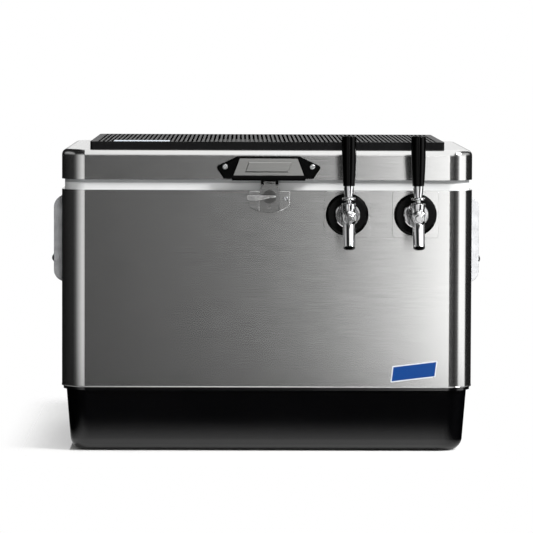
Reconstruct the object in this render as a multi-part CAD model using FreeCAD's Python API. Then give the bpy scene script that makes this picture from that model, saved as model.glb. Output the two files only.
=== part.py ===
import FreeCAD, Part
import math
import os

# Steel-belted jockey box cooler with two draught taps, in millimetres.
# X runs to the right, Y to the back and Z up. The origin is the centre of the base's underside.

# ---- Cooler body: driving dimensions ----
BODY_W = 618.0
BODY_D = 414.0
BODY_CORNER = 36.0
BASE_H = 98.0
JACKET_H = 296.5
RIM_H = 10.5
LID_BAND_H = 5.0
LID_SKIN_H = 45.0
SKIN = 0.8
HEM = 8.0
RIM_RECESS = 4.5
WALL = 42.0
PLASTIC = 3.0
FLOOR = 48.0
CAVITY_CORNER = 25.0
CAVITY_FLOOR_FILLET = 8.0
BOND_GAP = 0.3
FIT_GAP = 0.1
LID_GAP = 0.2

# ---- Black base ----
BASE_LIP_H = 4.5
BASE_LIP_INSET = 2.5
BASE_STEP = 7.0
BASE_DRAFT = 7.0
BASE_ROUND = 20.0

# ---- Lid ----
LID_EDGE_ROUND = 9.0
PLUG_DEPTH = 8.0
PLUG_CLEARANCE = 3.0
LID_OPEN_DEG = 100.0

# ---- Ribbed bar mat ----
MAT_W = 531.0
MAT_D = 348.0
MAT_H = 11.5
MAT_CORNER = 4.0
MAT_FRONT_INSET = 10.0
MAT_GROOVES = 77
MAT_PITCH = 6.65
MAT_GROOVE_W = 3.3
MAT_GROOVE_DEPTH = 7.5
MAT_END_BORDER = 4.0
MAT_LABEL_W = 84.0
MAT_LABEL_D = 44.0
MAT_LABEL_SIDE = 34.5
MAT_LABEL_INSET = 15.0
MAT_LABEL_T = 1.2

# ---- Taps ----
TAP_FROM_SIDE = (189.4, 87.2)
TAP_BELOW_TOP = 36.0
PLATE_SIZE = 69.5
PLATE_CORNER = 4.5
PLATE_T = 1.2
FLANGE_R = 32.0
FLANGE_T = 5.8
FLANGE_BEVEL = 4.0
SHANK_R = 11.1
SHANK_BORE_R = 3.2
SHANK_COLLAR_R = 13.4
SHANK_COLLAR_T = 2.5
SHANK_INSIDE = 18.0
NUT_R = 18.5
NUT_LIP = 2.4
NUT_LENGTH = 17.0
NUT_LUGS = 6
LOCKNUT_AF = 32.0
LOCKNUT_T = 8.0
BARREL_R = 11.0
BARREL_FRONT = 96.0
BARREL_THREAD_LENGTH = 9.0
FRONT_BOSS_R = 8.2
FRONT_BOSS_T = 4.0
KNOB_FRONT = 108.0
KNOB_R = 5.5
VALVE_CHAMBER_R = 9.0
VALVE_CHAMBER_LENGTH = 13.0
VALVE_BORE_R = 7.0
VALVE_HEAD_R = 8.2
VALVE_HEAD_T = 3.0
VALVE_STEM_R = 3.0
GUIDE_LENGTH = 11.0
HANDLE_OUT = 75.0
PIVOT_ABOVE_AXIS = 16.5
BALL_R = 6.5
NECK_R = 3.8
ARM_R = 2.0
ARM_TIP_R = 3.0
ARM_LENGTH = 13.5
ARM_SLOT_HALF = 3.8
TAP_PULL_DEG = 30.0
BOSS_R = 8.6
BONNET_R = 10.5
BONNET_BODY_R = 10.0
BONNET_BOTTOM = 12.8
BONNET_TOP = 20.8
BONNET_RING_T = 2.9
COLLAR_R = 10.0
COLLAR_BOTTOM = 25.4
COLLAR_TOP = 29.1
FERRULE_BOTTOM_R = 5.75
FERRULE_TOP_R = 7.7
FERRULE_TOP = 46.6
STUD_R = 3.9
STUD_TOP = 66.0
HANDLE_BOTTOM_R = 8.7
HANDLE_MID_R = 10.1
HANDLE_TOP_R = 10.75
HANDLE_MID = 72.0
HANDLE_SHOULDER = 98.0
HANDLE_TOP = 120.1
HANDLE_EDGE = 1.6
SPOUT_OUT = 81.0
SPOUT_TILT_DEG = 27.0
SPOUT_LENGTH = 48.5
SPOUT_ROOT_R = 9.2
SPOUT_END_R = 8.6
SPOUT_BORE_R = 6.7
SPOUT_THROAT_R = 6.0
SPOUT_THROAT_LENGTH = 12.0

# ---- Beer lines and cooling coils ----
COIL_MIDDLE = 31.8
COIL_Y = -20.0
COIL_TUBE_R = 3.97
COIL_BORE_R = 3.4
COIL_PITCH = 8.4
COIL_TURNS = 24
COIL_LIFT = 8.0
COIL_TAIL = 18.0
COIL_BEND_R = 25.0
COIL_END_DROP = 53.5
BAND_T = 1.2
BAND_W = 12.0
BAND_ANGLES = (30.0, 150.0, 270.0)
INLET_BELOW_TOP = 44.5
INLET_R = 8.0
INLET_NIPPLE_R = 10.7
INLET_NIPPLE_LENGTH = 16.0
INLET_NUT_AF = 26.0
INLET_NUT_T = 8.0
BARB_HEX_AF = 20.0
BARB_HEX_T = 8.0
BARB_R = 4.0
BARB_ROOT_R = 3.6
BARB_BORE_R = 2.4
BARB_LENGTH = 19.0
BARB_SPIGOT = 8.0
SPIGOT_R = 5.5
HOSE_R = 6.35
HOSE_BORE_R = 4.15
HOSE_OVERLAP = 18.0
OUTLET_HOSE_SLANT = 50.0
INLET_HOSE_SLANT = 38.9
CLAMP_T = 1.2
CLAMP_W = 7.0
CLAMP_INSET = 6.0

# ---- Latch and lid handle ----
GRIP_X = 2.0
LATCH_X = 3.4
GRIP_TIP_HALF = 79.0
GRIP_TIP_DROP = 25.2
GRIP_TIP_ROUND = 3.0
GRIP_TOP_HALF = 46.0
GRIP_TOP_DROP = 9.5
GRIP_LOW_HALF = 66.8
GRIP_LOW_DROP = 43.0
GRIP_T = 7.0
BLOCK_TOP_HALF = 44.0
BLOCK_LOW_HALF = 53.4
BLOCK_TOP_DROP = 11.6
BLOCK_LOW_DROP = 38.7
BLOCK_OUT = 14.0
LIP_HALF = 56.5
LIP_BOTTOM_DROP = 45.5
LIP_OUT = 17.0
FINGER_POCKET_NEAR = 16.0
FINGER_POCKET_FAR = 46.0
FINGER_POCKET_DROP = 26.0
FINGER_POCKET_OUT = 10.5
HANDLE_PLATE_MARGIN = 1.0
HANDLE_PLATE_T = 1.2
GRIP_SCREW_HALF = 65.0
HASP_PIN_BELOW_LIP = 2.5
HASP_PIN_OUT = 6.4
HASP_PIN_R = 1.5
HASP_KNUCKLE_R = 2.7
HASP_EAR_T = 4.0
HASP_NECK_HALF = 9.0
HASP_HALF = 13.9
HASP_SHOULDER_DROP = 7.2
HASP_SIDE_DROP = 43.3
HASP_BOTTOM_DROP = 46.2
HASP_T = 1.5
HASP_OUT = 3.6
HASP_OPEN_DEG = 80.0
LOCK_HOLE_R = 2.5
LOCK_HOLE_DROP = 38.6
TURN_DROP = 21.8
TURN_BOSS_R = 10.0
TURN_BOSS_T = 2.2
TURN_SPINDLE_R = 3.0
BLADE_LEFT = 34.3
BLADE_RIGHT = 9.8
BLADE_OUT = 10.5
BLADE_T = 2.6
BLADE_TOP = 2.0
BLADE_BELLY = 5.8
BLADE_LEAF_T = 1.6
CAM_HALF = 16.3
CAM_W = 8.0
CAM_T = 2.0
CAM_BACK = 1.4
STRIKE_HALF = 31.0
STRIKE_TOP_DROP = 0.5
STRIKE_SIDE_DROP = 24.0
STRIKE_BOTTOM_DROP = 33.9
STRIKE_T = 1.0
STRIKE_LAND_OUT = 5.1
STRIKE_CHANNEL_HALF = 14.5
STRIKE_UNDERCUT = 2.6
STRIKE_UNDERCUT_HALF_H = 14.0
STRIKE_SCREW_HALF = 24.2
STRIKE_SCREW_DROP = 12.4

# ---- Side handles ----
BRACKET_HALF_Y = 84.0
BRACKET_TOP_DROP = 14.5
BRACKET_H = 133.0
BRACKET_OUT = 17.5
BRACKET_T = 1.5
BRACKET_END_ROUND = 12.0
CHEEK_W = 15.0
BAIL_PIVOT_OUT = 9.0
BAIL_PIVOT_DROP = 28.0
BAIL_R = 3.5
BAIL_CLEARANCE = 2.0
GRIP_ROD_OUT = 15.5
GRIP_ROD_DROP = 99.0
GRIP_ROD_R = 7.1
GRIP_ROD_HALF = 48.0
BRACKET_SCREW_DROPS = (118.0, 12.0)
BRACKET_SCREW_HALF_Y = 45.0

# ---- Hinges ----
HINGE_FROM_SIDE = 119.0
HINGE_RISE = 2.5
HINGE_OUT = 4.2
HINGE_KNUCKLE_R = 4.0
HINGE_PIN_R = 2.0
HINGE_HALF = 32.0
HINGE_LEAF_T = 1.5
HINGE_BODY_DROP = 36.0
HINGE_LID_RISE = 32.0
HINGE_SCREW_HALF = 21.0

# ---- Drain ----
DRAIN_FROM_SIDE = 109.0
DRAIN_RISE = 19.0
DRAIN_R = 8.0
DRAIN_BORE_R = 5.5
DRAIN_FLANGE_R = 11.0
DRAIN_FLANGE_T = 2.5
DRAIN_BOSS_R = 19.0
DRAIN_BOSS_RECESS = 5.0
DRAIN_NUT_AF = 26.0
DRAIN_NUT_T = 6.0
DRAIN_SPOUT_OUT = 20.0
DRAIN_CAP_R = 12.0
DRAIN_CAP_TOP = 3.0
DRAIN_CAP_RIBS = 12

# ---- Front label ----
LABEL_FROM_SIDE = 88.0
LABEL_RISE = 24.5
LABEL_W = 68.0
LABEL_H = 24.0
LABEL_SLANT = 6.0
LABEL_TILT_DEG = 7.0
LABEL_T = 1.0

# ---- Pan-head screws ----
SCREW_HEAD_R = 4.2
SCREW_HEAD_T = 2.4
SCREW_R = 2.0
SCREW_LENGTH = 12.0
SCREW_DRIVE_R = 1.2
SCREW_DRIVE_DEPTH = 1.2

# ---- Places that follow from the sizes ----
HALF_W = BODY_W / 2
HALF_D = BODY_D / 2
CAVITY_X = HALF_W - WALL
CAVITY_Y = HALF_D - WALL
BASE_TOP = BASE_H
BASE_WALL_TOP = BASE_TOP - BASE_LIP_H
STEEL_TOP = BASE_TOP + JACKET_H
RIM_TOP = STEEL_TOP + RIM_H
LID_BAND_TOP = RIM_TOP + LID_BAND_H
LID_TOP = LID_BAND_TOP + LID_SKIN_H
MAT_LABEL_X = -MAT_W / 2 + MAT_LABEL_SIDE + MAT_LABEL_W / 2
TAP_X = tuple(HALF_W - inset for inset in TAP_FROM_SIDE)
TAP_Z = STEEL_TOP - TAP_BELOW_TOP
PIVOT_Z = TAP_Z + PIVOT_ABOVE_AXIS
PIVOT_Y = -HALF_D - HANDLE_OUT
COIL_R = (TAP_X[1] - COIL_MIDDLE) / 2
COIL_X = (-COIL_MIDDLE - COIL_R, COIL_MIDDLE + COIL_R)
COIL_END_Z = TAP_Z - COIL_END_DROP
INLET_Z = STEEL_TOP - INLET_BELOW_TOP
GRIP_TIP_Z = LID_TOP - GRIP_TIP_DROP
GRIP_TOP_Z = LID_TOP - GRIP_TOP_DROP
GRIP_LOW_Z = LID_TOP - GRIP_LOW_DROP
BLOCK_TOP_Z = LID_TOP - BLOCK_TOP_DROP
BLOCK_LOW_Z = LID_TOP - BLOCK_LOW_DROP
LIP_BOTTOM_Z = LID_TOP - LIP_BOTTOM_DROP
FINGER_POCKET_TOP = LID_TOP - FINGER_POCKET_DROP
HASP_PIN_Z = LIP_BOTTOM_Z - HASP_PIN_BELOW_LIP
HASP_SHOULDER_Z = HASP_PIN_Z - HASP_SHOULDER_DROP
HASP_SIDE_Z = HASP_PIN_Z - HASP_SIDE_DROP
HASP_BOTTOM_Z = HASP_PIN_Z - HASP_BOTTOM_DROP
LOCK_HOLE_Z = HASP_PIN_Z - LOCK_HOLE_DROP
TURN_Z = HASP_PIN_Z - TURN_DROP
STRIKE_TOP_Z = STEEL_TOP - STRIKE_TOP_DROP
STRIKE_SIDE_Z = STEEL_TOP - STRIKE_SIDE_DROP
STRIKE_BOTTOM_Z = STEEL_TOP - STRIKE_BOTTOM_DROP
STRIKE_SCREW_Z = STEEL_TOP - STRIKE_SCREW_DROP
BRACKET_TOP_Z = STEEL_TOP - BRACKET_TOP_DROP
BRACKET_BOTTOM_Z = BRACKET_TOP_Z - BRACKET_H
BAIL_PIVOT_Z = BRACKET_TOP_Z - BAIL_PIVOT_DROP
GRIP_ROD_Z = BRACKET_TOP_Z - GRIP_ROD_DROP
BRACKET_SCREW_Z = tuple(BRACKET_TOP_Z - drop for drop in BRACKET_SCREW_DROPS)
HINGE_X = (HINGE_FROM_SIDE - HALF_W, HALF_W - HINGE_FROM_SIDE)
HINGE_Y = HALF_D + HINGE_OUT
HINGE_Z = RIM_TOP + HINGE_RISE
DRAIN_X = HALF_W - DRAIN_FROM_SIDE
DRAIN_Z = FLOOR + DRAIN_RISE
DRAIN_BOSS_OUT = HALF_D - DRAIN_BOSS_RECESS
LABEL_X = HALF_W - LABEL_FROM_SIDE
LABEL_Z = BASE_TOP + LABEL_RISE
BIG = 1000.0

V = FreeCAD.Vector
AXIS_X = V(1, 0, 0)
AXIS_Y = V(0, 1, 0)
AXIS_Z = V(0, 0, 1)


# ---------------- simple solids ----------------
def box(x0, x1, y0, y1, z0, z1):
    return Part.makeBox(x1 - x0, y1 - y0, z1 - z0, V(x0, y0, z0))


def rod(start, end, radius):
    """A round bar from one point to another."""
    along = end - start
    return Part.makeCylinder(radius, along.Length, start, along)


def rod_y(x, z, y0, y1, radius):
    return rod(V(x, y0, z), V(x, y1, z), radius)


def tube_y(x, z, y0, y1, outer, inner):
    return rod_y(x, z, y0, y1, outer).cut(rod_y(x, z, y0, y1, inner))


def hex_y(x, z, y0, y1, across_flats):
    """A hexagonal bar along Y with flats top and bottom."""
    radius = across_flats / math.sqrt(3)
    angles = [math.radians(60 * i) for i in range(7)]
    points = [V(x + radius * math.cos(a), y0, z + radius * math.sin(a)) for a in angles]
    return Part.Face(Part.makePolygon(points)).extrude(V(0, y1 - y0, 0))


def rounded_wire(half_x, half_y, corner, z):
    """A rectangle with round corners, centred on the origin, at height z."""
    bend = corner * math.sin(math.radians(45))
    edges = []
    last = None
    first = None
    for sx, sy in ((1, 1), (-1, 1), (-1, -1), (1, -1)):
        centre = V(sx * (half_x - corner), sy * (half_y - corner), z)
        side_point = centre + V(sx * corner, 0, 0)
        end_point = centre + V(0, sy * corner, 0)
        start, end = (side_point, end_point) if sx * sy > 0 else (end_point, side_point)
        if last:
            edges.append(Part.makeLine(last, start))
        first = first or start
        middle = centre + V(sx * bend, sy * bend, 0)
        edges.append(Part.Arc(start, middle, end).toShape())
        last = end
    edges.append(Part.makeLine(last, first))
    return Part.Wire(edges)


def rounded_prism(half_x, half_y, corner, z0, z1):
    return Part.Face(rounded_wire(half_x, half_y, corner, z0)).extrude(V(0, 0, z1 - z0))


def inset_prism(inset, z0, z1):
    """The body's plan shape, drawn in by inset on every side, between two heights."""
    return rounded_prism(HALF_W - inset, HALF_D - inset, BODY_CORNER - inset, z0, z1)


def extruded(points, direction):
    return Part.Face(Part.makePolygon(points + [points[0]])).extrude(direction)


def lathe(outline, origin, axis, side):
    """Turns an outline of (radius, distance) points, or triples of them for arcs, about an axis."""
    def place(point):
        return origin + side * point[0] + axis * point[1]

    edges = []
    for start, *middle, end in outline:
        if middle:
            edges.append(Part.Arc(place(start), place(middle[0]), place(end)).toShape())
        else:
            edges.append(Part.makeLine(place(start), place(end)))
    return Part.Face(Part.Wire(edges)).revolve(origin, axis, 360)


def line_outline(points):
    """Straight outline edges through the points, closed back to the first."""
    return [(a, b) for a, b in zip(points, points[1:] + points[:1])]


def at_edges(shape, test):
    return [edge for edge in shape.Edges if test(edge)]


def edges_at_z(shape, z):
    """Edges that lie wholly at one height."""
    near = 1e-4
    return at_edges(shape, lambda e: abs(e.BoundBox.ZMin - z) < near and abs(e.BoundBox.ZMax - z) < near)


def edges_at_y(shape, y):
    near = 1e-4
    return at_edges(shape, lambda e: abs(e.BoundBox.YMin - y) < near and abs(e.BoundBox.YMax - y) < near)


def front(out):
    """Y of a plane that stands out from the front steel by this much."""
    return -HALF_D - out


# ---------------- screws ----------------
def screw(at, outward):
    """A pan-head screw whose head seats at a point, with its shank running inwards."""
    head = Part.makeCylinder(SCREW_HEAD_R, SCREW_HEAD_T, at, outward)
    top = at + outward * SCREW_HEAD_T
    rim = [e for e in head.Edges if e.Curve.TypeId == "Part::GeomCircle" and (e.Curve.Center - top).Length < 0.01]
    head = head.makeFillet(SCREW_HEAD_T * 0.5, rim)
    recess = Part.makeCylinder(SCREW_DRIVE_R, SCREW_DRIVE_DEPTH, top - outward * SCREW_DRIVE_DEPTH, outward)
    shank = Part.makeCylinder(SCREW_R, SCREW_LENGTH, at, outward * -1)
    return head.cut(recess).fuse(shank).removeSplitter()


def screw_hole(at, outward):
    """The clearance hole for such a screw, through its seat and into what lies behind."""
    reach = SCREW_LENGTH + BOND_GAP
    return Part.makeCylinder(SCREW_R + FIT_GAP, 2 * reach, at + outward * reach, outward * -1)


def seats(places, outward, make):
    return [make(place, outward) for place in places]


def strike_screw_places():
    out = STRIKE_LAND_OUT
    return [V(LATCH_X + side * STRIKE_SCREW_HALF, front(out), STRIKE_SCREW_Z) for side in (-1, 1)]


def grip_screw_places():
    return [V(GRIP_X + side * GRIP_SCREW_HALF, front(GRIP_T), GRIP_TIP_Z) for side in (-1, 1)]


def bracket_screw_places(side):
    x = side * (HALF_W + BRACKET_T)
    return [V(x, y, z) for z in BRACKET_SCREW_Z for y in (-BRACKET_SCREW_HALF_Y, BRACKET_SCREW_HALF_Y)]


def hinge_screw_places(z):
    y = HALF_D + HINGE_LEAF_T
    return [V(x + side * HINGE_SCREW_HALF, y, z) for x in HINGE_X for side in (-1, 1)]


HINGE_BODY_SCREW_Z = HINGE_Z - HINGE_BODY_DROP * 0.7
HINGE_LID_SCREW_Z = HINGE_Z + HINGE_LID_RISE * 0.65


def body_screws(make):
    made = seats(strike_screw_places(), -AXIS_Y, make)
    made += seats(hinge_screw_places(HINGE_BODY_SCREW_Z), AXIS_Y, make)
    for side in (-1, 1):
        made += seats(bracket_screw_places(side), AXIS_X * side, make)
    return made


def lid_screws(make):
    return seats(grip_screw_places(), -AXIS_Y, make) + seats(hinge_screw_places(HINGE_LID_SCREW_Z), AXIS_Y, make)


# ---------------- cooler body ----------------
def tapered_tub(inset, floor, bottom_round):
    """The base's tapered shape, drawn in by inset, from its floor up to its lip."""
    share = (BASE_WALL_TOP - floor) / BASE_WALL_TOP
    top_inset = BASE_STEP + inset
    low_inset = top_inset + BASE_DRAFT * share
    corner = BODY_CORNER - BASE_STEP - inset
    top = rounded_wire(HALF_W - top_inset, HALF_D - top_inset, corner, BASE_WALL_TOP)
    low = rounded_wire(HALF_W - low_inset, HALF_D - low_inset, corner, floor)
    tub = Part.makeLoft([low, top], True, True)
    return tub.makeFillet(bottom_round, edges_at_z(tub, floor))


def drain_boss():
    y0 = HALF_D - BASE_STEP - BASE_DRAFT - PLASTIC
    return rod_y(DRAIN_X, DRAIN_Z, y0, DRAIN_BOSS_OUT, DRAIN_BOSS_R)


def drain_hole():
    return rod_y(DRAIN_X, DRAIN_Z, CAVITY_Y - WALL, HALF_D + WALL, DRAIN_R + FIT_GAP)


def make_base_tub():
    outer = tapered_tub(0.0, 0.0, BASE_ROUND)
    lip = inset_prism(BASE_LIP_INSET, BASE_WALL_TOP, BASE_TOP)
    inner = tapered_tub(PLASTIC, PLASTIC, BASE_ROUND - PLASTIC)
    mouth = inset_prism(BASE_STEP + PLASTIC, BASE_WALL_TOP, BASE_TOP)
    return outer.fuse([lip, drain_boss()]).cut([inner, mouth, drain_hole()]).removeSplitter()


def tap_holes(radius):
    return [rod_y(x, TAP_Z, front(WALL), -CAVITY_Y + WALL, radius) for x in TAP_X]


def inlet_x(coil_x):
    """The inlets stand right behind the risers of their coils."""
    return coil_x - COIL_TAIL - COIL_BEND_R


def inlet_holes(radius):
    return [rod_y(inlet_x(x), INLET_Z, CAVITY_Y - WALL, HALF_D + WALL, radius) for x in COIL_X]


def line_holes():
    return tap_holes(SHANK_R + FIT_GAP) + inlet_holes(INLET_R + FIT_GAP)


def make_steel_jacket():
    wall = inset_prism(0.0, BASE_TOP, STEEL_TOP)
    inside = inset_prism(SKIN, BASE_TOP + SKIN, STEEL_TOP - SKIN)
    opening = inset_prism(HEM, BASE_TOP, STEEL_TOP)
    return wall.cut([inside, opening] + line_holes() + body_screws(screw_hole))


def liner_shell(inset):
    """The liner tub's outer shape, grown by inset, without its rim."""
    grow = PLASTIC + inset
    floor = FLOOR - grow
    tub = rounded_prism(CAVITY_X + grow, CAVITY_Y + grow, CAVITY_CORNER + grow, floor, RIM_TOP)
    return tub.makeFillet(CAVITY_FLOOR_FILLET + grow, edges_at_z(tub, floor))


def cavity():
    hollow = rounded_prism(CAVITY_X, CAVITY_Y, CAVITY_CORNER, FLOOR, RIM_TOP)
    return hollow.makeFillet(CAVITY_FLOOR_FILLET, edges_at_z(hollow, FLOOR))


def make_inner_liner():
    flange = inset_prism(RIM_RECESS, STEEL_TOP, RIM_TOP)
    under = inset_prism(RIM_RECESS + PLASTIC, STEEL_TOP, RIM_TOP - PLASTIC)
    shell = liner_shell(0.0).fuse(flange.cut(under.cut(liner_shell(0.0))))
    return shell.cut([cavity(), drain_hole()] + line_holes()).removeSplitter()


def make_body_foam():
    low = tapered_tub(PLASTIC + BOND_GAP, PLASTIC + BOND_GAP, BASE_ROUND - PLASTIC - BOND_GAP)
    throat = inset_prism(BASE_STEP + PLASTIC + BOND_GAP, BASE_WALL_TOP, BASE_TOP + SKIN + BOND_GAP)
    middle = inset_prism(SKIN + BOND_GAP, BASE_TOP + SKIN + BOND_GAP, STEEL_TOP - SKIN - BOND_GAP)
    neck_inset = HEM + BOND_GAP
    neck = inset_prism(neck_inset, STEEL_TOP - SKIN - BOND_GAP, RIM_TOP - PLASTIC - BOND_GAP)
    boss_room = rod_y(DRAIN_X, DRAIN_Z, CAVITY_Y + WALL / 2, HALF_D, DRAIN_BOSS_R + BOND_GAP)
    foam = low.fuse([throat, middle, neck])
    foam = foam.cut([liner_shell(BOND_GAP), drain_hole(), boss_room] + line_holes())
    return foam.cut(body_screws(screw_hole)).removeSplitter()


# ---------------- lid ----------------
def lid_dome(inset, z0, z1):
    """The lid's block with its rounded top edge, drawn in by inset."""
    block = inset_prism(inset, z0, z1)
    return block.makeFillet(LID_EDGE_ROUND - inset, edges_at_z(block, z1))


def make_lid_skin():
    outer = lid_dome(0.0, LID_BAND_TOP, LID_TOP)
    inner = lid_dome(SKIN, LID_BAND_TOP + SKIN, LID_TOP - SKIN)
    mouth = inset_prism(HEM, LID_BAND_TOP, LID_BAND_TOP + SKIN)
    return outer.cut([inner, mouth] + lid_screws(screw_hole))


def make_lid_liner():
    bottom = RIM_TOP + LID_GAP
    band = inset_prism(RIM_RECESS, bottom, LID_BAND_TOP)
    tray = inset_prism(RIM_RECESS + PLASTIC, bottom + PLASTIC, LID_BAND_TOP)
    plug_x = CAVITY_X - PLUG_CLEARANCE
    plug_y = CAVITY_Y - PLUG_CLEARANCE
    plug_corner = CAVITY_CORNER - PLUG_CLEARANCE
    plug_bottom = bottom - PLUG_DEPTH
    plug = rounded_prism(plug_x, plug_y, plug_corner, plug_bottom, bottom + PLASTIC)
    pocket_top = bottom + PLASTIC
    pocket = rounded_prism(
        plug_x - PLASTIC, plug_y - PLASTIC, plug_corner - PLASTIC, plug_bottom + PLASTIC, pocket_top
    )
    return band.cut(tray).fuse(plug).cut(pocket).removeSplitter()


def make_lid_foam():
    bottom = RIM_TOP + LID_GAP + PLASTIC + BOND_GAP
    hem_top = LID_BAND_TOP + SKIN + BOND_GAP
    low = inset_prism(HEM + BOND_GAP, bottom, hem_top)
    high = lid_dome(SKIN + BOND_GAP, hem_top, LID_TOP - SKIN - BOND_GAP)
    shrink = PLUG_CLEARANCE + PLASTIC + BOND_GAP
    plug_bottom = RIM_TOP + LID_GAP - PLUG_DEPTH + PLASTIC + BOND_GAP
    plug = rounded_prism(CAVITY_X - shrink, CAVITY_Y - shrink, CAVITY_CORNER - shrink, plug_bottom, bottom)
    return low.fuse([high, plug]).cut(lid_screws(screw_hole)).removeSplitter()


def mat_label_box(lift, grow):
    """The space of the small label set into the mat's front border area."""
    y0 = front(-MAT_FRONT_INSET - MAT_LABEL_INSET)
    top = LID_TOP + MAT_H
    half = MAT_LABEL_W / 2 + grow
    return box(MAT_LABEL_X - half, MAT_LABEL_X + half, y0 - grow, y0 + MAT_LABEL_D + grow, top - MAT_LABEL_T, top + lift)


def make_bar_mat():
    """A moulded rubber mat with blind grooves from front to back."""
    centre_y = front(-MAT_FRONT_INSET) + MAT_D / 2
    mat = rounded_prism(MAT_W / 2, MAT_D / 2, MAT_CORNER, LID_TOP, LID_TOP + MAT_H)
    mat.translate(V(0, centre_y, 0))
    half_run = MAT_D / 2 - MAT_END_BORDER
    top = LID_TOP + MAT_H
    grooves = []
    label = mat_label_box(1.0, FIT_GAP)
    ledge = mat_label_box(1.0, 1.0)
    ledge.translate(V(0, 0, -MAT_GROOVE_DEPTH))
    for i in range(MAT_GROOVES):
        x = (i - (MAT_GROOVES - 1) / 2) * MAT_PITCH
        y0, y1 = centre_y - half_run, centre_y + half_run
        groove = box(x - MAT_GROOVE_W / 2, x + MAT_GROOVE_W / 2, y0, y1, top - MAT_GROOVE_DEPTH, top + 1)
        grooves.append(groove.cut(ledge))
    return mat.cut(grooves).cut(label)


def make_mat_label():
    return mat_label_box(0.0, 0.0)


# ---------------- lid handle and latch ----------------
def front_outline(points, out0, out1):
    """A closed outline in X and Z, centred on the grip, extruded between two distances from the front."""
    corners = [V(GRIP_X + x, front(out0), z) for x, z in points]
    return extruded(corners, V(0, front(out1) - front(out0), 0))


def mirrored(points):
    return points + [(-x, z) for x, z in reversed(points)]


def finger_pockets():
    """Room behind the handle's front for the fingers, open downwards, on both sides of the hasp."""
    pockets = []
    for side in (-1, 1):
        near, far = side * FINGER_POCKET_NEAR, side * FINGER_POCKET_FAR
        points = [(near, LIP_BOTTOM_Z - 1), (far, LIP_BOTTOM_Z - 1), (far, FINGER_POCKET_TOP), (near, FINGER_POCKET_TOP)]
        pockets.append(front_outline(points, -1.0, FINGER_POCKET_OUT))
    return pockets


def hasp_pin_line(half, radius):
    y = front(HASP_PIN_OUT)
    return rod(V(LATCH_X - half, y, HASP_PIN_Z), V(LATCH_X + half, y, HASP_PIN_Z), radius)


def make_lid_handle():
    base_points = mirrored([(GRIP_LOW_HALF, GRIP_LOW_Z), (GRIP_TIP_HALF, GRIP_TIP_Z), (GRIP_TOP_HALF, GRIP_TOP_Z)])
    base = front_outline(base_points, 0.0, GRIP_T)
    base = base.makeFillet(GRIP_TIP_ROUND, at_edges(base, lambda e: abs(e.Length - GRIP_T) < 1e-4
                                                    and abs(e.CenterOfMass.z - GRIP_TIP_Z) < 1e-4))
    base = base.makeChamfer(2.0, edges_at_y(base, front(GRIP_T)))
    block_points = mirrored([(BLOCK_LOW_HALF, BLOCK_LOW_Z), (BLOCK_TOP_HALF, BLOCK_TOP_Z)])
    block = front_outline(block_points, 0.0, BLOCK_OUT)
    lip_points = mirrored([(LIP_HALF - 2, LIP_BOTTOM_Z), (LIP_HALF, BLOCK_LOW_Z)])
    lip = front_outline(lip_points, 0.0, LIP_OUT)
    lip = lip.makeFillet(2.0, edges_at_y(lip, front(LIP_OUT)))
    ears = []
    ear_half_depth = HASP_KNUCKLE_R + 1.0
    for side in (-1, 1):
        inner = HASP_NECK_HALF + FIT_GAP
        x = LATCH_X + side * (inner + HASP_EAR_T / 2)
        y = front(HASP_PIN_OUT)
        x0, x1 = x - HASP_EAR_T / 2, x + HASP_EAR_T / 2
        ears.append(box(x0, x1, y - ear_half_depth, y + ear_half_depth, HASP_PIN_Z, LIP_BOTTOM_Z + 1))
        ears.append(rod(V(x0, y, HASP_PIN_Z), V(x1, y, HASP_PIN_Z), ear_half_depth))
    body = base.fuse([block, lip] + ears)
    recess_half = HASP_NECK_HALF + FIT_GAP
    y = front(HASP_PIN_OUT)
    knuckle_room = rod(
        V(LATCH_X - recess_half, y, HASP_PIN_Z), V(LATCH_X + recess_half, y, HASP_PIN_Z), ear_half_depth
    )
    plate_seat = handle_plate_solid(FIT_GAP)
    pin_hole = hasp_pin_line(HASP_NECK_HALF + FIT_GAP + HASP_EAR_T, HASP_PIN_R + FIT_GAP / 2)
    holes = seats(grip_screw_places(), -AXIS_Y, screw_hole)
    return body.cut(finger_pockets() + [knuckle_room, plate_seat, pin_hole] + holes).removeSplitter()


def handle_plate_solid(grow):
    """The plain plate let into the handle's block, grown for its seat."""
    inset = HANDLE_PLATE_MARGIN - grow
    low, high = BLOCK_LOW_Z + inset, BLOCK_TOP_Z - inset
    points = mirrored([(BLOCK_LOW_HALF - inset, low), (BLOCK_TOP_HALF - inset, high)])
    return front_outline(points, BLOCK_OUT - HANDLE_PLATE_T, BLOCK_OUT + grow)


def make_hasp_pin():
    return hasp_pin_line(HASP_NECK_HALF + HASP_EAR_T, HASP_PIN_R)


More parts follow.
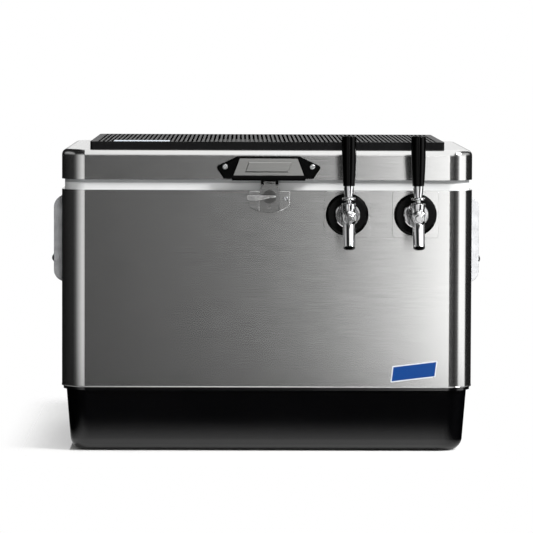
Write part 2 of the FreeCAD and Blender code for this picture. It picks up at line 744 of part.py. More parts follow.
def make_hasp():
    back = HASP_OUT
    shape = [
        (HASP_NECK_HALF, HASP_PIN_Z),
        (HASP_NECK_HALF, HASP_PIN_Z - HASP_KNUCKLE_R - 1.0),
        (HASP_HALF - 1.5, HASP_SHOULDER_Z),
        (HASP_HALF, HASP_SHOULDER_Z - 3.0),
        (HASP_HALF, HASP_SIDE_Z),
    ]
    left = [V(LATCH_X - x, front(back), z) for x, z in shape]
    right = [V(LATCH_X + x, front(back), z) for x, z in shape]
    edges = [Part.makeLine(a, b) for a, b in zip(left, left[1:])]
    bottom = V(LATCH_X, front(back), HASP_BOTTOM_Z)
    edges.append(Part.Arc(left[-1], bottom, right[-1]).toShape())
    edges += [Part.makeLine(a, b) for a, b in zip(right[::-1], right[::-1][1:])]
    edges.append(Part.makeLine(right[0], left[0]))
    plate = Part.Face(Part.Wire(edges)).extrude(V(0, -HASP_T, 0))
    knuckle = hasp_pin_line(HASP_NECK_HALF, HASP_KNUCKLE_R)
    lock_hole = rod_y(LATCH_X, LOCK_HOLE_Z, front(-1), front(WALL), LOCK_HOLE_R)
    spindle_hole = rod_y(LATCH_X, TURN_Z, front(-1), front(WALL), TURN_SPINDLE_R + FIT_GAP / 2)
    pin_hole = hasp_pin_line(HASP_NECK_HALF, HASP_PIN_R + FIT_GAP / 2)
    return plate.fuse(knuckle).cut([lock_hole, spindle_hole, pin_hole]).removeSplitter()


HASP_FACE = HASP_OUT + HASP_T
CAM_FRONT = CAM_BACK + CAM_T


def make_latch_lever():
    """The thumb lever: boss, a thin blade reaching to the left, a leaf-shaped pad on it, and its spindle."""
    boss = rod_y(LATCH_X, TURN_Z, front(HASP_FACE + FIT_GAP), front(HASP_FACE + FIT_GAP + TURN_BOSS_T), TURN_BOSS_R)
    spindle = rod_y(LATCH_X, TURN_Z, front(CAM_BACK), front(HASP_FACE + TURN_BOSS_T), TURN_SPINDLE_R)
    y_root = front(HASP_FACE + FIT_GAP + TURN_BOSS_T)
    y_tip = front(HASP_FACE + BLADE_OUT)
    left, right = LATCH_X - BLADE_LEFT, LATCH_X + BLADE_RIGHT
    root_left = LATCH_X - TURN_BOSS_R + 2.0
    root_right = LATCH_X + TURN_BOSS_R - 2.0
    overlap = TURN_BOSS_T / 2
    outline = [
        V(root_left, y_root + overlap, TURN_Z - BLADE_T / 2),
        V(root_left - 3.0, y_root - 2.0, TURN_Z - BLADE_T / 2),
        V(left, y_tip + 4.0, TURN_Z - BLADE_T / 2),
        V(left + 1.0, y_tip, TURN_Z - BLADE_T / 2),
        V(right - 4.0, y_tip, TURN_Z - BLADE_T / 2),
        V(right, y_tip + 5.0, TURN_Z - BLADE_T / 2),
        V(root_right, y_root + overlap, TURN_Z - BLADE_T / 2),
    ]
    blade = extruded(outline, V(0, 0, BLADE_T))
    top, belly = TURN_Z + BLADE_TOP, TURN_Z - BLADE_BELLY
    length = right - left
    leaf = [
        V(left, y_tip, top - 1.6), V(left + 1.4, y_tip, top), V(right - 2.0, y_tip, top), V(right, y_tip, top - 1.2),
        V(right - length * 0.25, y_tip, top - 3.6), V(right - length * 0.55, y_tip, belly + 1.0),
        V(right - length * 0.78, y_tip, belly), V(left + 3.0, y_tip, belly + 0.8), V(left, y_tip, belly + 3.2),
    ]
    pad = extruded(leaf, V(0, BLADE_LEAF_T, 0))
    return boss.fuse([spindle, blade, pad]).removeSplitter()


def make_latch_cam():
    """The cross bar behind the hasp, upright while the latch is free."""
    bar = box(LATCH_X - CAM_W / 2, LATCH_X + CAM_W / 2, front(CAM_FRONT), front(CAM_BACK), TURN_Z - CAM_HALF, TURN_Z + CAM_HALF)
    reach = rod_y(LATCH_X, TURN_Z, front(CAM_BACK), front(CAM_FRONT), CAM_HALF)
    eye = rod_y(LATCH_X, TURN_Z, front(CAM_BACK), front(CAM_FRONT), TURN_SPINDLE_R + FIT_GAP / 2)
    return bar.common(reach).cut(eye)


def make_strike_plate():
    """The pressed strike: a flat back, and two raised lands that the turned cam hooks behind."""
    def shield(half, out0, out1):
        corners = [V(LATCH_X + sx * half, front(out0), z) for sx, z in ((-1, STRIKE_SIDE_Z), (-1, STRIKE_TOP_Z))]
        corners += [V(LATCH_X + half, front(out0), z) for z in (STRIKE_TOP_Z, STRIKE_SIDE_Z)]
        edges = [Part.makeLine(a, b) for a, b in zip(corners, corners[1:])]
        edges.append(Part.Arc(corners[-1], V(LATCH_X, front(out0), STRIKE_BOTTOM_Z), corners[0]).toShape())
        return Part.Face(Part.Wire(edges)).extrude(V(0, front(out1) - front(out0), 0))

    lands = shield(STRIKE_HALF, 0.0, STRIKE_LAND_OUT)
    lands = lands.makeFillet(1.2, edges_at_y(lands, front(STRIKE_LAND_OUT)))
    channel = box(
        LATCH_X - STRIKE_CHANNEL_HALF, LATCH_X + STRIKE_CHANNEL_HALF,
        front(BIG), front(STRIKE_T), STRIKE_BOTTOM_Z - 1, STRIKE_TOP_Z + 1,
    )
    undercut_half = STRIKE_CHANNEL_HALF + STRIKE_UNDERCUT
    undercut = box(
        LATCH_X - undercut_half, LATCH_X + undercut_half, front(CAM_FRONT + FIT_GAP), front(STRIKE_T),
        TURN_Z - STRIKE_UNDERCUT_HALF_H, STRIKE_TOP_Z + 1,
    )
    holes = seats(strike_screw_places(), -AXIS_Y, screw_hole)
    return lands.cut([channel, undercut] + holes).removeSplitter()


# ---------------- taps ----------------
def make_backing_plates():
    half = PLATE_SIZE / 2
    plates = []
    for x in TAP_X:
        plate = rounded_prism(half, half, PLATE_CORNER, 0.0, PLATE_T)
        plate.rotate(V(0, 0, 0), AXIS_X, 90)
        plate.translate(V(x, front(0.0), TAP_Z))
        plates.append(plate.cut(rod_y(x, TAP_Z, front(-1), front(PLATE_T + 1), SHANK_R + FIT_GAP)))
    return plates


FLANGE_FACE = PLATE_T + FLANGE_T
COLLAR_BACK = FLANGE_FACE + NUT_LIP + 2 * BOND_GAP
COLLAR_FACE = COLLAR_BACK + SHANK_COLLAR_T


def make_wall_flange(x):
    disc = rod_y(x, TAP_Z, front(PLATE_T), front(FLANGE_FACE), FLANGE_R)
    disc = disc.makeChamfer(FLANGE_BEVEL, edges_at_y(disc, front(FLANGE_FACE)))
    return disc.cut(rod_y(x, TAP_Z, front(-1), front(FLANGE_FACE + 1), SHANK_R + FIT_GAP))


def make_shank(x):
    inner_end = -CAVITY_Y + SHANK_INSIDE
    tube = rod_y(x, TAP_Z, inner_end, front(COLLAR_FACE), SHANK_R)
    collar = rod_y(x, TAP_Z, front(COLLAR_BACK), front(COLLAR_FACE), SHANK_COLLAR_R)
    bore = rod_y(x, TAP_Z, inner_end - BIG, inner_end + BIG, SHANK_BORE_R)
    socket = rod_y(x, TAP_Z, inner_end - BARB_SPIGOT - BOND_GAP, inner_end + 1, SPIGOT_R + FIT_GAP)
    return tube.fuse(collar).cut([bore, socket]).removeSplitter()


def make_coupling_nut(x):
    """The lugged ring that clamps the faucet to its shank."""
    back = FLANGE_FACE + BOND_GAP
    face = back + NUT_LENGTH
    ring = rod_y(x, TAP_Z, front(back), front(face), NUT_R)
    ring = ring.makeChamfer(1.4, edges_at_y(ring, front(face)))
    bore = rod_y(x, TAP_Z, front(back + NUT_LIP), front(face + 1), SHANK_COLLAR_R + BOND_GAP)
    throat = rod_y(x, TAP_Z, front(back - 1), front(face), SHANK_R + BOND_GAP)
    notches = []
    for i in range(NUT_LUGS):
        angle = math.radians(360 / NUT_LUGS * (i + 0.5))
        nx = x + NUT_R * 1.08 * math.cos(angle)
        nz = TAP_Z + NUT_R * 1.08 * math.sin(angle)
        notches.append(rod_y(nx, nz, front(back + 4), front(face - 4), 3.2))
    return ring.cut([bore, throat] + notches).removeSplitter()


def make_locknut(x, z, y0, y1, across, radius):
    nut = hex_y(x, z, y0, y1, across)
    return nut.cut(rod_y(x, z, y0 - 1, y1 + 1, radius + FIT_GAP))


def make_shank_locknuts():
    y0 = -CAVITY_Y
    return [make_locknut(x, TAP_Z, y0, y0 + LOCKNUT_T, LOCKNUT_AF, SHANK_R) for x in TAP_X]


BODY_BACK = COLLAR_FACE + BOND_GAP
SPOUT_DIRECTION = V(0, -math.sin(math.radians(SPOUT_TILT_DEG)), -math.cos(math.radians(SPOUT_TILT_DEG)))


def spout_cone(x, r0, r1, start, length):
    origin = V(x, front(SPOUT_OUT), TAP_Z) + SPOUT_DIRECTION * start
    if r0 == r1:
        return Part.makeCylinder(r0, length, origin, SPOUT_DIRECTION)
    return Part.makeCone(r0, r1, length, origin, SPOUT_DIRECTION)


def make_faucet_body(x):
    """The barrel with its rear thread, front guide boss, upper cup for the lever ball, and the spout."""
    thread = rod_y(x, TAP_Z, front(BODY_BACK), front(BODY_BACK + BARREL_THREAD_LENGTH), SHANK_COLLAR_R)
    barrel = rod_y(x, TAP_Z, front(BODY_BACK), front(BARREL_FRONT), BARREL_R)
    barrel = barrel.makeFillet(3.0, edges_at_y(barrel, front(BARREL_FRONT)))
    boss_end = BARREL_FRONT + FRONT_BOSS_T
    nose = rod_y(x, TAP_Z, front(BARREL_FRONT - 4), front(boss_end), FRONT_BOSS_R)
    nose = nose.makeFillet(1.2, edges_at_y(nose, front(boss_end)))
    cup = rod(V(x, PIVOT_Y, TAP_Z), V(x, PIVOT_Y, PIVOT_Z - 1.0), BOSS_R)
    shoulder = rod(V(x, PIVOT_Y, TAP_Z), V(x, PIVOT_Y, PIVOT_Z - PIVOT_ABOVE_AXIS + BONNET_BOTTOM - BOND_GAP), BONNET_BODY_R - 0.6)
    spout = spout_cone(x, SPOUT_ROOT_R, SPOUT_END_R, 0.0, SPOUT_LENGTH)
    body = thread.fuse([barrel, nose, cup, shoulder, spout])
    chamber_end = BODY_BACK + VALVE_CHAMBER_LENGTH
    cuts = [
        rod_y(x, TAP_Z, front(BODY_BACK - 1), front(chamber_end), VALVE_CHAMBER_R),
        rod_y(x, TAP_Z, front(chamber_end), front(BARREL_FRONT - FRONT_BOSS_T), VALVE_BORE_R),
        rod_y(x, TAP_Z, front(chamber_end), front(boss_end + 1), KNOB_R + FIT_GAP / 2),
        Part.makeSphere(BALL_R + FIT_GAP / 2, V(x, PIVOT_Y, PIVOT_Z)),
        spout_cone(x, SPOUT_THROAT_R, SPOUT_THROAT_R, VALVE_BORE_R / 2, SPOUT_LENGTH / 2),
        spout_cone(x, SPOUT_BORE_R, SPOUT_BORE_R, SPOUT_THROAT_LENGTH, SPOUT_LENGTH),
        arm_passage(x),
    ]
    return body.cut(cuts).removeSplitter()


def arm_passage(x):
    """The slot below the ball in which the lever's lower arm swings back."""
    half = ARM_TIP_R + 0.4
    swing = math.tan(math.radians(TAP_PULL_DEG))
    low = ARM_LENGTH
    high = ARM_TIP_R
    outline = [
        V(x - half, PIVOT_Y - half, PIVOT_Z - high),
        V(x - half, PIVOT_Y + half + high * swing, PIVOT_Z - high),
        V(x - half, PIVOT_Y + half + low * swing, PIVOT_Z - low),
        V(x - half, PIVOT_Y - half, PIVOT_Z - low),
    ]
    return extruded(outline, V(2 * half, 0, 0))


def make_faucet_bonnet(x):
    """The threaded cap that holds the lever ball down."""
    def level(height):
        return V(x, PIVOT_Y, TAP_Z + height)

    body = rod(level(BONNET_BOTTOM), level(BONNET_TOP), BONNET_BODY_R)
    ring = rod(level(BONNET_TOP - BONNET_RING_T), level(BONNET_TOP), BONNET_R)
    ring = ring.makeChamfer(0.9, edges_at_z(ring, TAP_Z + BONNET_TOP))
    thread = rod(level(BONNET_BOTTOM - 1), level(PIVOT_ABOVE_AXIS - 1.0 + FIT_GAP), BOSS_R + FIT_GAP)
    ball = Part.makeSphere(BALL_R + FIT_GAP / 2, V(x, PIVOT_Y, PIVOT_Z))
    mouth_start = PIVOT_ABOVE_AXIS + 1.5
    mouth = Part.makeCone(6.35, 7.8, BONNET_TOP - mouth_start, level(mouth_start), AXIS_Z)
    crop = rod(level(BONNET_BOTTOM), level(BONNET_TOP), BONNET_R).cut(body.fuse(ring))
    cap = body.fuse(ring).cut(crop)
    top_edge = Part.makeCylinder(BONNET_R + 1, 0.9, level(BONNET_TOP - 0.9), AXIS_Z)
    bevel = Part.makeCone(BONNET_R, BONNET_R - 0.9, 0.9, level(BONNET_TOP - 0.9), AXIS_Z)
    return cap.cut([thread, ball, mouth, top_edge.cut(bevel)]).removeSplitter()


def make_faucet_shaft(x):
    """The plunger: front knob, guide block with the lever's slot, stem and rear sealing head."""
    seat = BODY_BACK + VALVE_CHAMBER_LENGTH
    knob = rod_y(x, TAP_Z, front(HANDLE_OUT), front(KNOB_FRONT), KNOB_R)
    knob = knob.makeFillet(1.0, edges_at_y(knob, front(KNOB_FRONT)))
    guide_half = GUIDE_LENGTH / 2
    guide = rod_y(
        x, TAP_Z, front(HANDLE_OUT - guide_half), front(HANDLE_OUT + guide_half), VALVE_BORE_R - FIT_GAP / 2
    )
    stem = rod_y(x, TAP_Z, front(seat - FIT_GAP - VALVE_HEAD_T), front(HANDLE_OUT), VALVE_STEM_R)
    head = rod_y(x, TAP_Z, front(seat - FIT_GAP - VALVE_HEAD_T), front(seat - FIT_GAP), VALVE_HEAD_R)
    depth = PIVOT_ABOVE_AXIS - ARM_LENGTH - ARM_TIP_R - 0.6
    slot = box(
        x - ARM_TIP_R - 0.4, x + ARM_TIP_R + 0.4, PIVOT_Y - ARM_SLOT_HALF, PIVOT_Y + ARM_SLOT_HALF,
        TAP_Z + depth, TAP_Z + BARREL_R,
    )
    return knob.fuse([guide, stem, head]).cut(slot).removeSplitter()


def make_tap_lever(x):
    """One turned and bent lever: lower arm, ball, neck, collar and the stud for the handle."""
    def level(height):
        return V(x, PIVOT_Y, TAP_Z + height)

    pivot = PIVOT_ABOVE_AXIS
    tip = Part.makeSphere(ARM_TIP_R, level(pivot - ARM_LENGTH))
    arm = rod(level(pivot - ARM_LENGTH), level(pivot), ARM_R)
    ball = Part.makeSphere(BALL_R, level(pivot))
    neck = rod(level(pivot), level(COLLAR_BOTTOM), NECK_R)
    collar = rod(level(COLLAR_BOTTOM), level(COLLAR_TOP), COLLAR_R)
    collar = collar.makeFillet(1.4, edges_at_z(collar, TAP_Z + COLLAR_BOTTOM) + edges_at_z(collar, TAP_Z + COLLAR_TOP))
    stud = rod(level(COLLAR_BOTTOM), level(STUD_TOP), STUD_R)
    return ball.fuse([arm, tip, neck, collar, stud]).removeSplitter()


FERRULE_BOTTOM = COLLAR_TOP + BOND_GAP


def make_handle_ferrule(x):
    outline = line_outline([
        (STUD_R + FIT_GAP, FERRULE_BOTTOM), (FERRULE_BOTTOM_R, FERRULE_BOTTOM),
        (FERRULE_TOP_R, FERRULE_TOP - 3.0), (FERRULE_TOP_R, FERRULE_TOP), (STUD_R + FIT_GAP, FERRULE_TOP),
    ])
    return lathe(outline, V(x, PIVOT_Y, TAP_Z), AXIS_Z, AXIS_X)


def make_tap_handle(x):
    """The black grip: a slim barrel that swells upwards, with a lightly dished top."""
    bore = STUD_R + FIT_GAP
    depth = STUD_TOP + BOND_GAP
    bottom = FERRULE_TOP
    edge = HANDLE_TOP_R - HANDLE_EDGE
    bend = HANDLE_EDGE * (1 - math.sin(math.radians(45)))
    outline = [
        ((bore, bottom), (HANDLE_BOTTOM_R, bottom)),
        ((HANDLE_BOTTOM_R, bottom), (HANDLE_MID_R, HANDLE_MID), (HANDLE_TOP_R, HANDLE_SHOULDER)),
        ((HANDLE_TOP_R, HANDLE_SHOULDER), (HANDLE_TOP_R, HANDLE_TOP - HANDLE_EDGE)),
        ((HANDLE_TOP_R, HANDLE_TOP - HANDLE_EDGE), (HANDLE_TOP_R - bend, HANDLE_TOP - bend), (edge, HANDLE_TOP)),
        ((edge, HANDLE_TOP), (edge - 1.0, HANDLE_TOP - 0.8)),
        ((edge - 1.0, HANDLE_TOP - 0.8), (0, HANDLE_TOP - 0.8)),
        ((0, HANDLE_TOP - 0.8), (0, depth)),
        ((0, depth), (bore, depth)),
        ((bore, depth), (bore, bottom)),
    ]
    return lathe(outline, V(x, PIVOT_Y, TAP_Z), AXIS_Z, AXIS_X)


# ---------------- cooling coils and beer lines ----------------
COIL_BOTTOM_Z = FLOOR + COIL_LIFT
COIL_HEIGHT = COIL_PITCH * (COIL_TURNS + 0.25)
COIL_TOP_Z = COIL_BOTTOM_Z + COIL_HEIGHT
COIL_SLOPE = math.atan(COIL_PITCH / (2 * math.pi * COIL_R))


def coil_tail(start, heading):
    """A straight run off the coil and a bend that turns it upright, as edges with the tube's end point."""
    run_end = start + heading * COIL_TAIL
    flat = V(heading.x, heading.y, 0).normalize()
    up_normal = V(-flat.x * heading.z, -flat.y * heading.z, math.hypot(heading.x, heading.y))
    centre = run_end + up_normal * COIL_BEND_R
    bend_end = centre + flat * COIL_BEND_R
    middle = centre + (flat - up_normal).normalize() * COIL_BEND_R
    top = V(bend_end.x, bend_end.y, COIL_END_Z)
    edges = [
        Part.makeLine(start, run_end),
        Part.Arc(run_end, middle, bend_end).toShape(),
        Part.makeLine(bend_end, top),
    ]
    return edges, top


def swept_bar(edges, start, heading, radius):
    profile = Part.Wire(Part.makeCircle(radius, start, heading))
    return Part.Wire(edges).makePipeShell([profile], True, False)


def coil_ends(coil_x):
    """Where the helix starts, at the back, and ends, at the right, with its outward headings."""
    c, s = math.cos(COIL_SLOPE), math.sin(COIL_SLOPE)
    low = (V(coil_x, COIL_Y + COIL_R, COIL_BOTTOM_Z), V(-c, 0, -s))
    high = (V(coil_x + COIL_R, COIL_Y, COIL_TOP_Z), V(0, -c, s))
    return low, high


def open_ends(sweep):
    """The closed edges at the two ends of a swept skin."""
    faces = sweep.Faces
    return [e for e in sweep.Edges if e.isClosed() and sum(e.isSame(g) for f in faces for g in f.Edges) == 1]


def make_coil(coil_x):
    """A stainless tube wound clockwise upwards, with both ends brought up to the lines."""
    helix = Part.makeHelix(COIL_PITCH, COIL_HEIGHT, COIL_R, 0, True)
    helix.rotate(V(0, 0, 0), AXIS_Z, 90)
    helix.translate(V(coil_x, COIL_Y, COIL_BOTTOM_Z))
    low, high = coil_ends(coil_x)
    low_edges, inlet_top = coil_tail(low[0], low[1])
    high_edges, _ = coil_tail(high[0], high[1])
    spine = Part.Wire(Part.__sortEdges__(low_edges + helix.Edges + high_edges))
    skins = []
    for radius in (COIL_TUBE_R, COIL_BORE_R):
        profile = Part.Wire(Part.makeCircle(radius, inlet_top, -AXIS_Z))
        skins.append(spine.makePipeShell([profile], False, False))
    outer, inner = skins
    caps = []
    for rim in open_ends(outer):
        centre = rim.CenterOfMass
        bore = min(open_ends(inner), key=lambda e: (e.CenterOfMass - centre).Length)
        caps.append(Part.Face([Part.Wire(rim), Part.Wire(bore)]))
    tube = Part.makeSolid(Part.makeShell(outer.Faces + [f.reversed() for f in inner.Faces] + caps))
    tube.fix(0.001, 0.001, 0.01)
    ratio = tube.Volume / (math.pi * (COIL_TUBE_R ** 2 - COIL_BORE_R ** 2) * spine.Length)
    print("coil", round(spine.Length), "mm, volume ratio", round(ratio, 4))
    return tube


def coil_end_tops(coil_x):
    return [coil_tail(start, heading)[1] for start, heading in coil_ends(coil_x)]


def make_coil_bands():
    """Flat stainless straps around the windings, standing on the liner's floor."""
    inner = COIL_R - COIL_TUBE_R - BOND_GAP
    outer = COIL_R + COIL_TUBE_R + BOND_GAP
    low = COIL_BOTTOM_Z - COIL_TUBE_R - BOND_GAP
    high = COIL_TOP_Z + COIL_TUBE_R + BOND_GAP
    bands = []
    for coil_x in COIL_X:
        for angle in BAND_ANGLES:
            loop = box(inner - BAND_T, outer + BAND_T, -BAND_W / 2, BAND_W / 2, low - BAND_T, high + BAND_T)
            loop = loop.cut(box(inner, outer, -BAND_W, BAND_W, low, high))
            foot = box(outer, outer + BAND_T, -BAND_W / 2, BAND_W / 2, FLOOR, low)
            band = loop.fuse(foot).removeSplitter()
            band.rotate(V(0, 0, 0), AXIS_Z, angle)
            band.translate(V(coil_x, COIL_Y, 0))
            bands.append(band)
    return bands


def make_inlet_shank(coil_x):
    """The rear bulkhead fitting with a threaded nipple for a keg line."""
    x = inlet_x(coil_x)
    inner_end = CAVITY_Y - SHANK_INSIDE
    body = rod_y(x, INLET_Z, inner_end, HALF_D + INLET_NUT_T + 2, INLET_R)
    nipple_start = HALF_D + INLET_NUT_T + BOND_GAP
    nipple = rod_y(x, INLET_Z, nipple_start, nipple_start + INLET_NIPPLE_LENGTH, INLET_NIPPLE_R)
    nipple = nipple.makeChamfer(1.0, edges_at_y(nipple, nipple_start + INLET_NIPPLE_LENGTH))
    bore = rod_y(x, INLET_Z, inner_end - 1, HALF_D + BIG, SHANK_BORE_R)
    socket = rod_y(x, INLET_Z, inner_end - 1, inner_end + BARB_SPIGOT + BOND_GAP, SPIGOT_R + FIT_GAP)
    return body.fuse(nipple).cut([bore, socket]).removeSplitter()


def make_inlet_locknuts():
    nuts = []
    for coil_x in COIL_X:
        x = inlet_x(coil_x)
        for y0 in (HALF_D, CAVITY_Y - INLET_NUT_T):
            nuts.append(make_locknut(x, INLET_Z, y0, y0 + INLET_NUT_T, INLET_NUT_AF, INLET_R))
    return nuts


def barb_fitting(at, inward):
    """A hexagon-headed hose barb; at is its seat on a shank's inner end, inward points into the cooler."""
    def level(distance):
        return distance

    outline = [(BARB_BORE_R, -BARB_SPIGOT), (SPIGOT_R, -BARB_SPIGOT), (SPIGOT_R, 0.0), (BARB_ROOT_R, 0.0)]
    start = BARB_HEX_T
    step = (BARB_LENGTH - 4.0) / 3
    outline.append((BARB_ROOT_R, start + 4.0))
    for i in range(3):
        root = start + 4.0 + i * step
        outline += [(BARB_R, root), (BARB_ROOT_R, root + step)]
    outline.append((BARB_BORE_R, start + BARB_LENGTH))
    points = [outline[0]]
    for point in outline[1:]:
        if abs(point[0] - points[-1][0]) + abs(point[1] - points[-1][1]) > 1e-6:
            points.append(point)
    stem = lathe(line_outline(points), at, inward, AXIS_X)
    y0, y1 = sorted((at.y, at.y + inward.y * BARB_HEX_T))
    nut = hex_y(at.x, at.z, y0, y1, BARB_HEX_AF)
    return nut.cut(rod_y(at.x, at.z, y0 - 1, y1 + 1, BARB_BORE_R)).fuse(stem).removeSplitter()


def tap_barb_seat(x):
    return V(x, -CAVITY_Y + SHANK_INSIDE, TAP_Z)


def inlet_barb_seat(coil_x):
    return V(inlet_x(coil_x), CAVITY_Y - SHANK_INSIDE, INLET_Z)


def make_hose_barbs():
    fittings = [barb_fitting(tap_barb_seat(x), AXIS_Y) for x in TAP_X]
    fittings += [barb_fitting(inlet_barb_seat(x), -AXIS_Y) for x in COIL_X]
    return fittings


def hose_points():
    """The four hose routes, from a barb to the top of a coil end. Every right-angled turn is cut by a slant."""
    clear = BARB_HEX_T + BOND_GAP
    routes = {}
    names = ("left", "right")
    for name, coil_x, tap_x in zip(names, COIL_X, TAP_X):
        riser, outlet = coil_end_tops(coil_x)
        inlet = inlet_barb_seat(coil_x) - AXIS_Y * clear
        lean = INLET_HOSE_SLANT * math.sin(math.radians(45))
        routes["inlet_hose_" + name] = [
            inlet,
            V(inlet.x, riser.y + lean, inlet.z),
            V(inlet.x, riser.y, inlet.z - lean),
            riser - AXIS_Z * HOSE_OVERLAP,
        ]
        tap = tap_barb_seat(tap_x) + AXIS_Y * clear
        lean = OUTLET_HOSE_SLANT * math.sin(math.radians(45))
        points = [tap, V(tap.x, outlet.y - lean, tap.z)]
        if name == "left":
            points += [V(tap.x - lean, outlet.y, tap.z), V(outlet.x + lean, outlet.y, tap.z)]
        points += [V(outlet.x, outlet.y, tap.z - lean), outlet - AXIS_Z * HOSE_OVERLAP]
        routes["outlet_hose_" + name] = points
    return routes


def route_edges(points):
    """Straight runs joined by tangent arcs, each as large as its two runs allow."""
    edges = []
    here = points[0]
    radii = []
    for before, corner, after in zip(points, points[1:], points[2:]):
        into = (corner - before).normalize()
        out = (after - corner).normalize()
        turn = into.getAngle(out)
        reach = 0.45 * min((corner - before).Length, (after - corner).Length)
        if turn < 0.01:
            continue
        radius = reach / math.tan(turn / 2)
        radii.append(round(radius, 1))
        start = corner - into * reach
        end = corner + out * reach
        inward = (out - into).normalize()
        middle = corner + inward * (math.hypot(radius, reach) - radius)
        edges.append(Part.makeLine(here, start))
        edges.append(Part.Arc(start, middle, end).toShape())
        here = end
    edges.append(Part.makeLine(here, points[-1]))
    return edges, radii


def make_hose(points):
    edges, radii = route_edges(points)
    heading = (points[1] - points[0]).normalize()
    outer = swept_bar(edges, points[0], heading, HOSE_R)
    inner = swept_bar(edges, points[0], heading, HOSE_BORE_R)
    hose = outer.cut(inner)
    length = sum(edge.Length for edge in edges)
    section = math.pi * (HOSE_R ** 2 - HOSE_BORE_R ** 2)
    print("hose", round(length, 1), "mm, volume ratio", round(hose.Volume / section / length, 4), "radii", radii)
    return hose


def make_hose_clamps(routes):
    """A narrow crimped band near both ends of every hose."""
    clamps = []
    for points in routes.values():
        for end, beside in ((points[0], points[1]), (points[-1], points[-2])):
            along = (beside - end).normalize()
            start = end + along * CLAMP_INSET
            ring = Part.makeCylinder(HOSE_R + FIT_GAP + CLAMP_T, CLAMP_W, start, along)
            ear_side = AXIS_Z if abs(along.z) < 0.5 else AXIS_Y
            ear = Part.makeCylinder(2.2, CLAMP_W, start + ear_side * (HOSE_R + CLAMP_T + 1.0), along)
            hole = Part.makeCylinder(HOSE_R + FIT_GAP, CLAMP_W + 2, start - along, along)
            clamps.append(ring.fuse(ear).cut(hole).removeSplitter())
    return clamps


# ---------------- side handles ----------------
def cheek_outline(side, inset, y):
    """The handle bracket's raised cheek in profile: straight outside with round ends."""
    wall = side * HALF_W
    face = side * (HALF_W + BRACKET_OUT - inset)
    top = BRACKET_TOP_Z - inset
    bottom = BRACKET_BOTTOM_Z + inset
    round_x = BRACKET_OUT - inset
    round_z = BRACKET_END_ROUND + round_x * 0.4
    bend = math.sin(math.radians(45))
    upper = V(wall + side * round_x * bend, y, top - round_z * (1 - bend))
    lower = V(wall + side * round_x * bend, y, bottom + round_z * (1 - bend))
    edges = [
        Part.Arc(V(wall, y, top), upper, V(face, y, top - round_z)).toShape(),
        Part.makeLine(V(face, y, top - round_z), V(face, y, bottom + round_z)),
        Part.Arc(V(face, y, bottom + round_z), lower, V(wall, y, bottom)).toShape(),
        Part.makeLine(V(wall, y, bottom), V(wall, y, top)),
    ]
    return Part.Wire(edges)


def make_side_bracket(side):
    """One pressing: a flat back screwed to the wall, and two hollow cheeks that carry the bail."""
    wall = side * HALF_W
    x0, x1 = sorted((wall, wall + side * BRACKET_T))
    inner = BRACKET_HALF_Y - CHEEK_W
    pieces = [box(x0, x1, -inner - 1, inner + 1, BRACKET_BOTTOM_Z + 2, BRACKET_TOP_Z - 2)]
    hollows = []
    for end in (-1, 1):
        y0, y1 = sorted((end * inner, end * BRACKET_HALF_Y))
        pieces.append(Part.Face(cheek_outline(side, 0.0, y0)).extrude(V(0, y1 - y0, 0)))
        hollow = Part.Face(cheek_outline(side, BRACKET_T, y0 + BRACKET_T)).extrude(V(0, CHEEK_W - 2 * BRACKET_T, 0))
        hollows.append(hollow)
    shape = pieces[0].fuse(pieces[1:])
    pivot_x = side * (HALF_W + BAIL_PIVOT_OUT)
    bearing = rod_y(pivot_x, BAIL_PIVOT_Z, -BRACKET_HALF_Y + BRACKET_T, BRACKET_HALF_Y - BRACKET_T, BAIL_R + FIT_GAP / 2)
    holes = seats(bracket_screw_places(side), AXIS_X * side, screw_hole)
    return shape.cut(hollows + [bearing] + holes).removeSplitter()


def bail_route(side):
    """The bail's wire: from one pivot end, along its arm, across the grip and back to the other pivot."""
    pivot = (side * (HALF_W + BAIL_PIVOT_OUT), BAIL_PIVOT_Z)
    grip = (side * (HALF_W + GRIP_ROD_OUT), GRIP_ROD_Z)
    arm_y = BRACKET_HALF_Y - CHEEK_W - BAIL_R - BAIL_CLEARANCE
    end_y = BRACKET_HALF_Y - CHEEK_W / 2
    points = [V(pivot[0], -end_y, pivot[1]), V(pivot[0], -arm_y, pivot[1]), V(grip[0], -arm_y, grip[1])]
    return points + [V(p.x, -p.y, p.z) for p in reversed(points)]


def make_side_bail(side):
    points = bail_route(side)
    bars = [rod(a, b, BAIL_R) for a, b in zip(points, points[1:])]
    knees = [Part.makeSphere(BAIL_R, p) for p in points[1:-1]]
    return bars[0].fuse(bars[1:] + knees).removeSplitter()


def make_side_grip(side):
    """The black sleeve on the bail's cross bar."""
    x = side * (HALF_W + GRIP_ROD_OUT)
    sleeve = tube_y(x, GRIP_ROD_Z, -GRIP_ROD_HALF, GRIP_ROD_HALF, GRIP_ROD_R, BAIL_R + FIT_GAP)
    outer = [e for y in (-GRIP_ROD_HALF, GRIP_ROD_HALF) for e in edges_at_y(sleeve, y)
             if e.Curve.TypeId == "Part::GeomCircle" and e.Curve.Radius > BAIL_R + 1]
    return sleeve.makeFillet(2.0, outer)


# ---------------- hinges ----------------
def knuckle_spans():
    """Five knuckles across a hinge: the outer and middle ones on the body leaf, the others on the lid's."""
    width = 2 * HINGE_HALF / 5
    spans = [(-HINGE_HALF + i * width, -HINGE_HALF + (i + 1) * width) for i in range(5)]
    return spans[0::2], spans[1::2]


